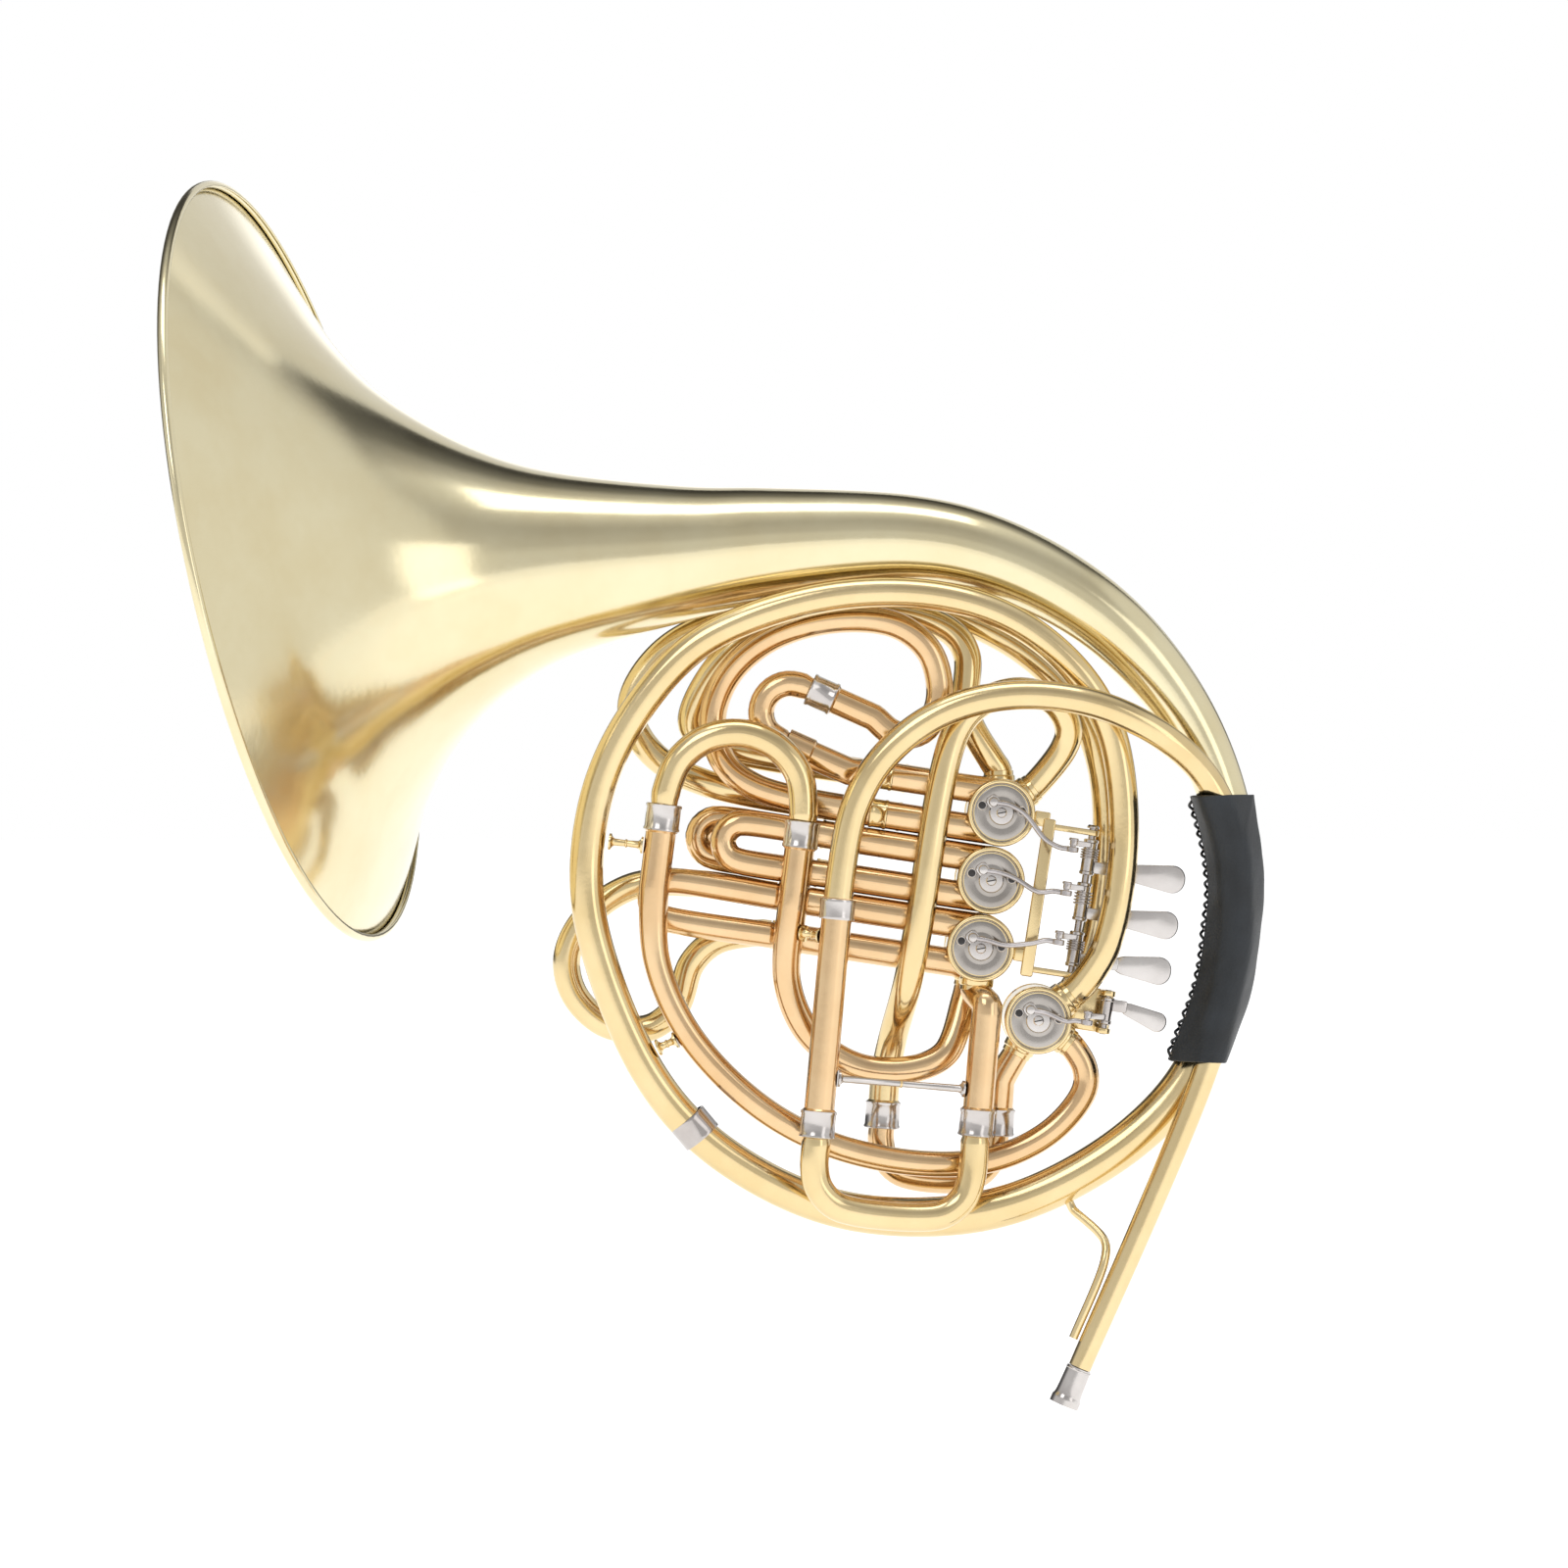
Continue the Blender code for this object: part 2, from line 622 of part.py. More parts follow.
SLEEVE_START = 9.0          # a sleeve's bore opens into the rotor's bore
BORE_RADIUS = CASING_RADIUS - CASING_WALL
ROTOR_RADIUS = BORE_RADIUS - GAP - 0.1
SPINDLE_RADIUS = 2.6
CAP_THICKNESS = 3.5
VALVE_SWING = 90.0          # degrees that a rotor turns
STOP_ARM_REACH = 7.9
STOP_ARM_ANGLE = 90.0 + VALVE_SWING / 2     # from across towards along, so that its end moves across
STOP_ARM_WIDTH = 5.0
STOP_ARM_THICKNESS = 2.0
HUB_RADIUS = 5.0

# Length of each valve's fixed sleeves from its centre: front pair, then rear pair
SLEEVES = {"1": (52.0, 46.0), "2": (62.0, 70.0), "3": (82.0, 84.0)}


def section_place(across, depth, along):
    """Matrix of a place in the valve section, its local z towards the back."""
    turn = Matrix.Rotation(TILT, 4, "Y") @ Matrix.Rotation(-math.pi / 2, 4, "X")
    return Matrix.Translation(mm(*section_point(across, depth, along))) @ turn


def turned(name, profile, place, kind, sides=CASING_SIDES):
    """A turned piece: a closed (radius, height) outline, screwed about its local z.

    The outline runs down its outer side. Points at radius 0 close the piece.
    """
    mesh = bpy.data.meshes.new(name)
    body = bmesh.new()
    verts = [body.verts.new(mm(radius, 0, height)) for radius, height in profile]
    for here, there in zip(verts, verts[1:]):
        body.edges.new((here, there))
    if profile[0][0] > 0:
        body.edges.new((verts[-1], verts[0]))
    body.to_mesh(mesh)
    body.free()
    thing = bpy.data.objects.new(name, mesh)
    HORN.objects.link(thing)
    thing.matrix_world = place
    screw = thing.modifiers.new("Turn", "SCREW")
    screw.steps = sides
    screw.render_steps = sides
    screw.use_merge_vertices = True
    screw.merge_threshold = 0.00001
    screw.use_normal_calculate = False
    return finish(thing, kind)


def rod_between(name, start, end, radius, sides=10, kind="brass"):
    """A plain cylinder between two world points."""
    start, end = Vector(start), Vector(end)
    axis = end - start
    body = bmesh.new()
    turn = Vector((0, 0, 1)).rotation_difference(axis.normalized()).to_matrix().to_4x4()
    bmesh.ops.create_cone(body, cap_ends=True, segments=sides, radius1=radius * 0.001,
                          radius2=radius * 0.001, depth=axis.length * 0.001)
    mesh = bpy.data.meshes.new(name)
    body.to_mesh(mesh)
    body.free()
    mesh.shade_smooth()
    mesh.set_sharp_from_angle(angle=math.radians(40))
    thing = bpy.data.objects.new(name, mesh)
    HORN.objects.link(thing)
    thing.matrix_world = Matrix.Translation(mm(*((start + end) / 2))) @ turn
    return finish(thing, kind)


def on_axis(name, place, thing):
    """Hangs a sliding piece on an empty that stands on its axis."""
    frame = bpy.data.objects.new(name, None)
    HORN.objects.link(frame)
    frame.location = mm(*place)
    thing.parent = frame
    thing.matrix_parent_inverse = Matrix.Translation(mm(*place)).inverted()


def boolean(target, other, operation):
    """Joins or cuts with another solid, which goes to the cutters."""
    for group in list(other.users_collection):
        group.objects.unlink(other)
    CUTTERS.objects.link(other)
    other.hide_render = True
    other.display_type = "WIRE"
    step = target.modifiers.new(operation.title() + "_" + other.name, "BOOLEAN")
    step.operation = operation
    step.solver = "EXACT"
    step.object = other


def leg_line(valve, row, depth):
    """Start and direction of a valve slide's leg: row +1 above the centre line, -1 below."""
    across, along = VALVES[valve]
    return section_point(across, depth, along + row * LEG_OFFSET), -ACROSS


def make_casing(valve):
    """A turned cup, closed at the front but for the spindle's hole, with its sleeves."""
    across, along = VALVES[valve]
    place = section_place(across, 0, along)
    spindle_hole = SPINDLE_RADIUS + GAP
    outline = [
        (spindle_hole, CASING_BACK), (CASING_RADIUS, CASING_BACK), (CASING_RADIUS, CASING_FRONT),
        (spindle_hole, CASING_FRONT),
    ]
    casing = turned("valve_casing_" + valve, outline, place, "brass")
    if valve in SLEEVES:
        for depth, length in zip((VALVE_LAYER, REAR_LAYER), SLEEVES[valve]):
            for row in (1, -1):
                start, out = leg_line(valve, row, depth)
                name = "sleeve_%s_%d_%d" % (valve, depth, row)
                pipe = rod_between(name, start + out * SLEEVE_START, start + out * length,
                                   VALVE_SLEEVE_RADIUS, sides=8)
                boolean(casing, pipe, "UNION")
        for depth, length in zip((VALVE_LAYER, REAR_LAYER), SLEEVES[valve]):
            for row in (1, -1):
                start, out = leg_line(valve, row, depth)
                name = "sleeve_bore_%s_%d_%d" % (valve, depth, row)
                pipe = rod_between(name, start, start + out * (length + 1.0),
                                   VALVE_SLEEVE_RADIUS - WALL, sides=8)
                boolean(casing, pipe, "DIFFERENCE")
    front, back = CASING_FRONT + FRONT_PLATE, CASING_BACK
    bore = rod_between("bore_" + valve, section_point(across, front, along),
                       section_point(across, back + 1.0, along), BORE_RADIUS, sides=CASING_SIDES)
    boolean(casing, bore, "DIFFERENCE")
    return casing


def make_cap(valve):
    """Screwed cap: its skirt sits in the bore, its rim on the casing's end."""
    across, along = VALVES[valve]
    base = CASING_BACK + GAP
    skirt = BORE_RADIUS - GAP - 0.1
    outline = [
        (0, base + CAP_THICKNESS), (CASING_RADIUS - 2.0, base + CAP_THICKNESS),
        (CASING_RADIUS, base + CAP_THICKNESS - 1.2), (CASING_RADIUS, base), (skirt, base),
        (skirt, base - 2.5), (0, base - 2.5),
    ]
    turned("valve_cap_" + valve, outline, section_place(across, 0, along), "brass")


def make_rotor(valve):
    """Rotor with its spindle through the front plate, a round hub and the stop arm."""
    across, along = VALVES[valve]
    back = CASING_BACK + GAP - 2.5 - GAP
    front = CASING_FRONT + FRONT_PLATE + GAP
    arm_back = CASING_FRONT - GAP
    arm_front = arm_back - STOP_ARM_THICKNESS
    outline = [
        (0, back), (ROTOR_RADIUS, back), (ROTOR_RADIUS, front), (SPINDLE_RADIUS, front),
        (SPINDLE_RADIUS, arm_back), (HUB_RADIUS, arm_back), (HUB_RADIUS, arm_front),
        (1.5, arm_front), (1.1, arm_front - 1.4), (0, arm_front - 1.4),
    ]
    rotor = turned("rotor_" + valve, outline, section_place(across, 0, along), "nickel")
    turn = math.radians(STOP_ARM_ANGLE)
    tip = (across + STOP_ARM_REACH * math.cos(turn), along + STOP_ARM_REACH * math.sin(turn))
    base = (across + 2.0 * math.cos(turn), along + 2.0 * math.sin(turn))
    level = arm_back - STOP_ARM_THICKNESS / 2
    arm = slab("stop_arm_" + valve, section_point(base[0], level, base[1]), section_point(tip[0], level, tip[1]),
               STOP_ARM_WIDTH, STOP_ARM_THICKNESS - 0.3, DEPTHWISE)
    boolean(rotor, arm, "UNION")


# Loops behind the valves, and the valve slides

def sleeve_end(valve, row, pair, out=GAP):
    """Just past the mouth of a casing's sleeve, as a world point."""
    depth = (VALVE_LAYER, REAR_LAYER)[pair]
    start, away = leg_line(valve, row, depth)
    return start + away * (SLEEVES[valve][pair] + out)


def make_first_loop():
    """First valve: its lower leg climbs round to the sleeve of the diagonal slide."""
    points = [
        at(sleeve_end("1", -1, 0), LOOP_RADIUS),
        (-168.0, 3.0, 29.6, LOOP_RADIUS),
        (-187.0, 6.0, 33.2, LOOP_RADIUS),
        (-204.0, 9.0, 42.0, LOOP_RADIUS),
        (-212.0, 10.0, 58.0, LOOP_RADIUS),
        (-209.0, 10.0, 76.0, LOOP_RADIUS),
        (-197.0, 8.0, 91.0, LOOP_RADIUS),
        (-179.0, 4.0, 100.5, LOOP_RADIUS),
        (-158.0, 1.0, 104.0, LOOP_RADIUS),
        (-138.0, 0.0, 101.5, LOOP_RADIUS),
        (-124.5, 0.0, 90.5, LOOP_RADIUS),
        (-120.5, 0.0, 74.0, LOOP_RADIUS),
        (-126.0, -1.0, 60.0, LOOP_RADIUS),
        (-137.5, FIRST_SLIDE_LAYER, 57.2, LOOP_RADIUS),
        at(FIRST_UPPER_MOUTH - FIRST_AXIS * FIRST_SLEEVE, VALVE_SLEEVE_RADIUS),
    ]
    loop = thin(smooth(points, -ACROSS, FIRST_AXIS))
    mouth = ferrule_end(FIRST_UPPER_MOUTH, -FIRST_AXIS, VALVE_SLEEVE_RADIUS)
    sweep("first_loop", loop + points_of(mouth), "rose")


FIRST_TILT = math.radians(23.9)
FIRST_AXIS = Vector((-math.cos(FIRST_TILT), 0, math.sin(FIRST_TILT)))
FIRST_SPREAD = 23.9
FIRST_UPPER_MOUTH = Vector((-173.0, FIRST_SLIDE_LAYER, 75.8))
FIRST_LOWER_MOUTH = FIRST_UPPER_MOUTH + Vector((-math.sin(FIRST_TILT), 0, -math.cos(FIRST_TILT))) * FIRST_SPREAD
FIRST_TRAVEL = 16.0
FIRST_LEG = FIRST_TRAVEL + LEG_KEPT
FIRST_SLEEVE = FIRST_LEG + 1.0
INNER_LEG = VALVE_SLEEVE_RADIUS - WALL - GAP


def make_first_return():
    """First valve: from the diagonal slide's lower sleeve down to the upper leg."""
    points = [
        at(FIRST_LOWER_MOUTH - FIRST_AXIS * FIRST_SLEEVE, VALVE_SLEEVE_RADIUS),
        at(sleeve_end("1", 1, 0), LOOP_RADIUS),
    ]
    run = thin(smooth(points, -FIRST_AXIS, ACROSS))
    mouth = points_of(ferrule_end(FIRST_LOWER_MOUTH, -FIRST_AXIS, VALVE_SLEEVE_RADIUS))
    sweep("first_return", mouth[::-1] + run, "rose")
    bow = bow_route(FIRST_UPPER_MOUTH, FIRST_LOWER_MOUTH, FIRST_AXIS, FIRST_LEG,
                    FIRST_SPREAD / 2 + 3.0, FIRST_SPREAD / 2 - 0.01, VALVE_SLEEVE_RADIUS - 0.2, INNER_LEG)
    on_axis("first_slide_axis", FIRST_UPPER_MOUTH, sweep("first_slide", bow, "rose"))


def make_outer_loops():
    """The two long rear loops behind the large circle, and the loop low on the left."""
    points = [
        at(port("1", 100.0, 11.0), LOOP_RADIUS),
        (-103.0, 10.0, 52.0, LOOP_RADIUS),
        (-109.5, 10.0, 66.0, LOOP_RADIUS),
        (-108.0, 12.0, 82.0, LOOP_RADIUS),
        (-113.0, 14.0, 97.0, LOOP_RADIUS),
        (-131.0, 15.0, 106.0, LOOP_RADIUS),
        (-158.0, 15.0, 108.5, LOOP_RADIUS),
        (-183.0, 17.0, 104.0, LOOP_RADIUS),
        (-204.0, 20.0, 92.5, LOOP_RADIUS),
        (-217.0, 21.0, 75.0, LOOP_RADIUS),
        (-221.0, 22.0, 63.0, LOOP_RADIUS),
        (-214.0, 22.5, 53.5, LOOP_RADIUS),
        (-196.0, REAR_LAYER, 49.6, LOOP_RADIUS),
        at(sleeve_end("1", 1, 1), LOOP_RADIUS),
    ]
    sweep("middle_loop", thin(smooth(points, port_axis(100.0), ACROSS)))
    points = [
        at(port("thumb", 44.0, REAR_LAYER), LOOP_RADIUS),
        (-57.0, 19.0, -24.0, LOOP_RADIUS),
        (-52.8, 18.0, 6.0, LOOP_RADIUS),
        (-53.0, 18.0, 34.0, LOOP_RADIUS),
        (-59.0, 18.0, 59.0, LOOP_RADIUS),
        (-72.0, 19.0, 79.0, LOOP_RADIUS),
        (-92.0, 22.0, 95.5, LOOP_RADIUS),
        (-118.0, 26.0, 107.5, LOOP_RADIUS),
        (-148.0, 27.0, 114.5, LOOP_RADIUS),
        (-183.0, 29.0, 111.5, LOOP_RADIUS),
        (-210.0, 29.0, 103.5, LOOP_RADIUS),
        (-232.0, 29.0, 92.0, LOOP_RADIUS),
        (-245.0, 27.0, 73.0, LOOP_RADIUS),
        (-242.0, 25.0, 56.0, LOOP_RADIUS),
        (-226.0, 23.0, 42.0, LOOP_RADIUS),
        (-203.0, 20.5, 35.0, LOOP_RADIUS),
        (-178.0, REAR_LAYER, 30.8, LOOP_RADIUS),
        at(sleeve_end("1", -1, 1), LOOP_RADIUS),
    ]
    sweep("outer_loop", thin(smooth(points, port_axis(44.0), ACROSS)))
    points = [
        at(sleeve_end("3", -1, 1), LOOP_RADIUS),
        (-208.0, 20.0, -25.0, LOOP_RADIUS),
        (-220.0, 20.0, -34.0, LOOP_RADIUS),
        (-225.0, 20.0, -50.0, LOOP_RADIUS),
        (-238.0, 20.0, -61.5, LOOP_RADIUS),
        (-257.0, 20.0, -59.5, LOOP_RADIUS),
        (-270.0, 20.0, -45.0, LOOP_RADIUS),
        (-270.5, 20.0, -28.0, LOOP_RADIUS),
        (-260.0, 20.0, -13.0, LOOP_RADIUS),
        (-243.0, 20.0, -3.5, LOOP_RADIUS),
        (-222.0, 20.0, -2.6, LOOP_RADIUS),
        at(sleeve_end("3", 1, 1), LOOP_RADIUS),
    ]
    sweep("third_loop", thin(smooth(points, -ACROSS, ACROSS)))


# Valve slides: valve, pair, how far the bow's outer side lies from the valve, travel
VALVE_SLIDES = {
    "second_slide": ("2", 0, 113.5, 30.0),
    "second_rear_slide": ("2", 1, 124.0, 38.0),
    "third_slide": ("3", 0, 139.0, 50.0),
}


def make_valve_slides():
    for name, (valve, pair, reach, travel) in VALVE_SLIDES.items():
        mouths = [sleeve_end(valve, row, pair, 0) for row in (1, -1)]
        drop = reach - SLEEVES[valve][pair] - INNER_LEG
        bow = bow_route(*mouths, -ACROSS, travel + LEG_KEPT, drop, LEG_OFFSET - 0.01,
                        VALVE_SLEEVE_RADIUS - 0.3, INNER_LEG)
        on_axis(name + "_axis", mouths[0], sweep(name, bow, "rose"))


# Hand guard: leather wrapped round the tail and the leadpipe, its seam to the left

GUARD_TOP = 33.0
GUARD_BOTTOM = -74.0
GUARD_THICKNESS = 1.6
GUARD_ROWS = 9
GUARD_SIDES = 16
GUARD_SLIT = 2.4
GUARD_ROOM = 1.2            # between the leather's inside and the tubes' flats


def at_height(points, height):
    """Centre (x, y) and slanted radius that a tube's points have at a height."""
    for low, high in zip(points, points[1:]):
        if min(low[2], high[2]) <= height <= max(low[2], high[2]) and low[2] != high[2]:
            x, y, radius = (lerp(low[k], high[k], (height - low[2]) / (high[2] - low[2])) for k in (0, 1, 3))
            slant = math.dist(low[:3], high[:3]) / abs(high[2] - low[2])
            return x, y, radius * slant


def make_guard():
    bell_tail = [(-left, TAIL_DEPTH, height, radius) for left, height, radius, *_ in BELL_STATIONS[-3:]]
    tail = bell_tail + [tuple(point) for point in ROUTES["first_branch"]]
    lead = [tuple(point) for point in ROUTES["leadpipe"]]
    body = bmesh.new()
    rows = []
    for row in range(GUARD_ROWS):
        height = lerp(GUARD_TOP, GUARD_BOTTOM, row / (GUARD_ROWS - 1))
        x_tail, y_tail, r_tail = at_height(tail, height)
        x_lead, y_lead, r_lead = at_height(lead, height)
        r_tail, r_lead = r_tail + GUARD_ROOM, r_lead + GUARD_ROOM
        middle = (y_tail + y_lead) / 2
        left = min(x_tail - r_tail, x_lead - r_lead)
        outline = [(left, middle + GUARD_SLIT / 2)]
        for step in range(1, GUARD_SIDES):
            turn = math.pi - 2 * math.pi * step / GUARD_SIDES
            across, deep = math.cos(turn), math.sin(turn)
            reach = ((x_tail * across + y_tail * deep + r_tail, x_tail, y_tail, r_tail),
                     (x_lead * across + y_lead * deep + r_lead, x_lead, y_lead, r_lead))
            _, x, y, radius = max(reach)
            depth = y + radius * deep
            if across < 0:
                clear_of_seam = middle + math.copysign(GUARD_SLIT, deep)
                depth = max(depth, clear_of_seam) if deep > 0 else min(depth, clear_of_seam)
            outline.append((x + radius * across, depth))
        outline.append((left, middle - GUARD_SLIT / 2))
        rows.append([body.verts.new(mm(x, y, height)) for x, y in outline])
    for upper, lower in zip(rows, rows[1:]):
        for k in range(len(upper) - 1):
            body.faces.new((upper[k], upper[k + 1], lower[k + 1], lower[k]))
    mesh = bpy.data.meshes.new("hand_guard")
    body.to_mesh(mesh)
    body.free()
    mesh.shade_smooth()
    guard = bpy.data.objects.new("hand_guard", mesh)
    HORN.objects.link(guard)
    shell = guard.modifiers.new("Leather", "SOLIDIFY")
    shell.thickness = GUARD_THICKNESS * 0.001
    shell.offset = 1
    finish(guard, "leather")


# Levers: three finger levers on one rod, a thumb lever on its own

ROD_RADIUS = 1.5
ROD_ACROSS = 38.0
ROD_DEPTH = -1.0
ROD_TOP = 27.0
ROD_FOOT = -35.0
HUB_WALL = 1.0
LEVER_HUB = ROD_RADIUS + GAP + HUB_WALL
LEVER_SWING = 20.0          # degrees that a lever turns
CRANK_ACROSS = -8.0         # crank's pin from its rod
CRANK_DEPTH = -20.5
LINK_REACH = (math.hypot(CRANK_ACROSS, CRANK_DEPTH) * math.sin(math.radians(LEVER_SWING / 2))
              / math.sin(math.radians(VALVE_SWING / 2)))
DISC_RADIUS = 2.0
CRANK_WIDTH = 3.0
CRANK_THICKNESS = 2.4
PIVOT_RADIUS = 1.1
EYE_RADIUS = 2.5
LINK_RADIUS = 1.1
TOUCH_START = 54.0
TOUCH_END = 78.0
TOUCH_WIDTH = 12.0
TOUCH_THICKNESS = 1.8
ARM_DEPTH = 2.4

# Finger levers: height of the touch and of the crank, in the valve section
LEVERS = {"1": (11.3, 20.0), "2": (-7.4, 2.4), "3": (-26.0, -17.5)}
BAR_ACROSS = 20.0
BAR_DEPTH = -4.0
THUMB_ROD_ACROSS = 54.0
THUMB_ROD_TOP = -36.5
THUMB_ROD_FOOT = -54.5
THUMB_CRANK = -47.5
THUMB_TOUCH_END = 79.0


def slab(name, start, end, width, thickness, flat, kind="nickel"):
    """A bar between two world points, its thickness along the flat direction."""
    start, end = Vector(start), Vector(end)
    long_axis = (end - start).normalized()
    flat = (flat - long_axis * long_axis.dot(flat)).normalized()
    wide = flat.cross(long_axis)
    body = bmesh.new()
    bmesh.ops.create_cube(body, size=1.0)
    size = Matrix.Diagonal(((end - start).length * 0.001, width * 0.001, thickness * 0.001, 1))
    bmesh.ops.transform(body, matrix=size, verts=body.verts)
    mesh = bpy.data.meshes.new(name)
    body.to_mesh(mesh)
    body.free()
    bar = bpy.data.objects.new(name, mesh)
    HORN.objects.link(bar)
    turn = Matrix((long_axis, wide, flat)).transposed().to_4x4()
    bar.matrix_world = Matrix.Translation(mm(*((start + end) / 2))) @ turn
    return finish(bar, kind)


DEPTHWISE = Vector((0, 1, 0))


def make_lever(name, rod_across, hub_ends, crank_along, touch):
    """A hub on the rod, a crank forward to the link and an arm out to the touch."""
    low, high = hub_ends
    lever = rod_between("lever_" + name, section_point(rod_across, ROD_DEPTH, low),
                        section_point(rod_across, ROD_DEPTH, high), LEVER_HUB, sides=12, kind="nickel")
    reach = math.hypot(CRANK_ACROSS, CRANK_DEPTH)
    tip = (rod_across + CRANK_ACROSS, ROD_DEPTH + CRANK_DEPTH)
    crank = slab("crank_" + name, section_point(rod_across, ROD_DEPTH, crank_along),
                 section_point(tip[0] + CRANK_ACROSS / reach, tip[1] + CRANK_DEPTH / reach, crank_along),
                 CRANK_WIDTH, CRANK_THICKNESS, ALONG)
    boolean(lever, crank, "UNION")
    pin = rod_between("crank_pin_" + name, section_point(*tip, crank_along),
                      section_point(*tip, crank_along - CRANK_THICKNESS / 2 - 3.4), PIVOT_RADIUS, sides=8)
    boolean(lever, pin, "UNION")
    start, end, along_start, along_end, width = touch
    arm = slab("arm_" + name, section_point(rod_across + 0.5, ARM_DEPTH - 1.4, along_start),
               section_point(start + 2.0, ARM_DEPTH, along_start), 5.0, 1.8, DEPTHWISE)
    boolean(lever, arm, "UNION")
    plate = slab("touch_" + name, section_point(start, ARM_DEPTH, along_start),
                 section_point(end, ARM_DEPTH, along_end), width, TOUCH_THICKNESS, DEPTHWISE)
    round_corners(plate, width)
    boolean(lever, plate, "UNION")
    bore = rod_between("lever_bore_" + name, section_point(rod_across, ROD_DEPTH, low - 1.0),
                       section_point(rod_across, ROD_DEPTH, high + 1.0), ROD_RADIUS + GAP, sides=12)
    boolean(lever, bore, "DIFFERENCE")


def round_corners(plate, width):
    """Rounds the four short edges of a slab."""
    body = bmesh.new()
    body.from_mesh(plate.data)
    upright = [edge for edge in body.edges
               if abs((edge.verts[0].co - edge.verts[1].co).normalized().z) > 0.9]
    bmesh.ops.bevel(body, geom=upright, offset=width * 0.00042, segments=3, profile=0.5, affect="EDGES")
    body.to_mesh(plate.data)
    body.free()


# Bends of each link between crank and stop arm: shares of its way across, in depth and along
LINK_BENDS = {
    "1": [(0.285, 0.333, 0.157), (0.598, 0.692, 0.799), (0.802, 0.897, 0.991)],
    "2": [(0.285, 0.333, -0.291), (0.598, 0.692, 0.679), (0.802, 0.897, 0.995)],
    "3": [(0.285, 0.333, 0.661), (0.598, 0.692, 1.265), (0.802, 0.897, 1.035)],
    "thumb": [(0.294, 0.282, -0.563), (0.680, 0.795, 0.844)],
}


def make_link(name, rod_across, crank_along):
    """An S-shaped link: an eye on the crank's pin and a disc over the stop arm's end."""
    across, along = VALVES[name]
    turn = math.radians(STOP_ARM_ANGLE)
    tip = (rod_across + CRANK_ACROSS, ROD_DEPTH + CRANK_DEPTH)
    eye_along = crank_along - CRANK_THICKNESS / 2 - GAP - 1.2
    over_arm = CASING_FRONT - GAP - STOP_ARM_THICKNESS - GAP
    goal = (across + LINK_REACH * math.cos(turn), over_arm - 1.0, along + LINK_REACH * math.sin(turn))
    link = rod_between("link_" + name, section_point(*tip, eye_along - 1.2),
                       section_point(*tip, eye_along + 1.2), EYE_RADIUS, sides=12, kind="steel")
    leave = (tip[0] - 1.9, tip[1], eye_along)
    knots = [at(section_point(*leave), LINK_RADIUS)]
    for shares in LINK_BENDS[name]:
        bend = [lerp(a, b, share) for a, b, share in zip(leave, goal, shares)]
        knots.append(at(section_point(*bend), LINK_RADIUS))
    knots.append(at(section_point(*goal), LINK_RADIUS))
    stem = sweep("stem_" + name, thin(smooth(knots, -ACROSS, -ACROSS)), "steel", wall=None, sides=6)
    solid = meshed(stem)
    boolean(link, solid, "UNION")
    disc = rod_between("disc_" + name, section_point(goal[0], over_arm, goal[2]),
                       section_point(goal[0], over_arm - 2.2, goal[2]), DISC_RADIUS, sides=12)
    boolean(link, disc, "UNION")
    hole = rod_between("eye_" + name, section_point(*tip, eye_along - 3.0),
                       section_point(*tip, eye_along + 3.0), PIVOT_RADIUS + GAP, sides=8)
    boolean(link, hole, "DIFFERENCE")


def meshed(curve_object):
    """A capped curve as a mesh object in the same place, ready for a Boolean."""
    deps = bpy.context.evaluated_depsgraph_get()
    mesh = bpy.data.meshes.new_from_object(curve_object.evaluated_get(deps))
    body = bmesh.new()
    body.from_mesh(mesh)
    bmesh.ops.remove_doubles(body, verts=body.verts, dist=0.00001)
    body.to_mesh(mesh)
    body.free()
    solid = bpy.data.objects.new(curve_object.name + "_solid", mesh)
    HORN.objects.link(solid)
    solid.matrix_world = curve_object.matrix_world.copy()
    bpy.data.objects.remove(curve_object, do_unlink=True)
    return solid


def make_levers():
    rod_between("lever_rod", section_point(ROD_ACROSS, ROD_DEPTH, ROD_FOOT),
                section_point(ROD_ACROSS, ROD_DEPTH, ROD_TOP), ROD_RADIUS, sides=12, kind="brass")
    for name, (touch_along, crank_along) in LEVERS.items():
        ends = (touch_along - 3.4, crank_along + 2.4)
        touch = (TOUCH_START, TOUCH_END, touch_along, touch_along, TOUCH_WIDTH)
        make_lever(name, ROD_ACROSS, ends, crank_along, touch)
        make_link(name, ROD_ACROSS, crank_along)
    rod_between("thumb_rod", section_point(THUMB_ROD_ACROSS, ROD_DEPTH, THUMB_ROD_FOOT),
                section_point(THUMB_ROD_ACROSS, ROD_DEPTH, THUMB_ROD_TOP), ROD_RADIUS, sides=12, kind="brass")
    touch = (THUMB_ROD_ACROSS + 6.0, THUMB_TOUCH_END, -42.5, -47.5, 8.5)
    make_lever("thumb", THUMB_ROD_ACROSS, (-50.5, -39.5), THUMB_CRANK, touch)
    make_link("thumb", THUMB_ROD_ACROSS, THUMB_CRANK)


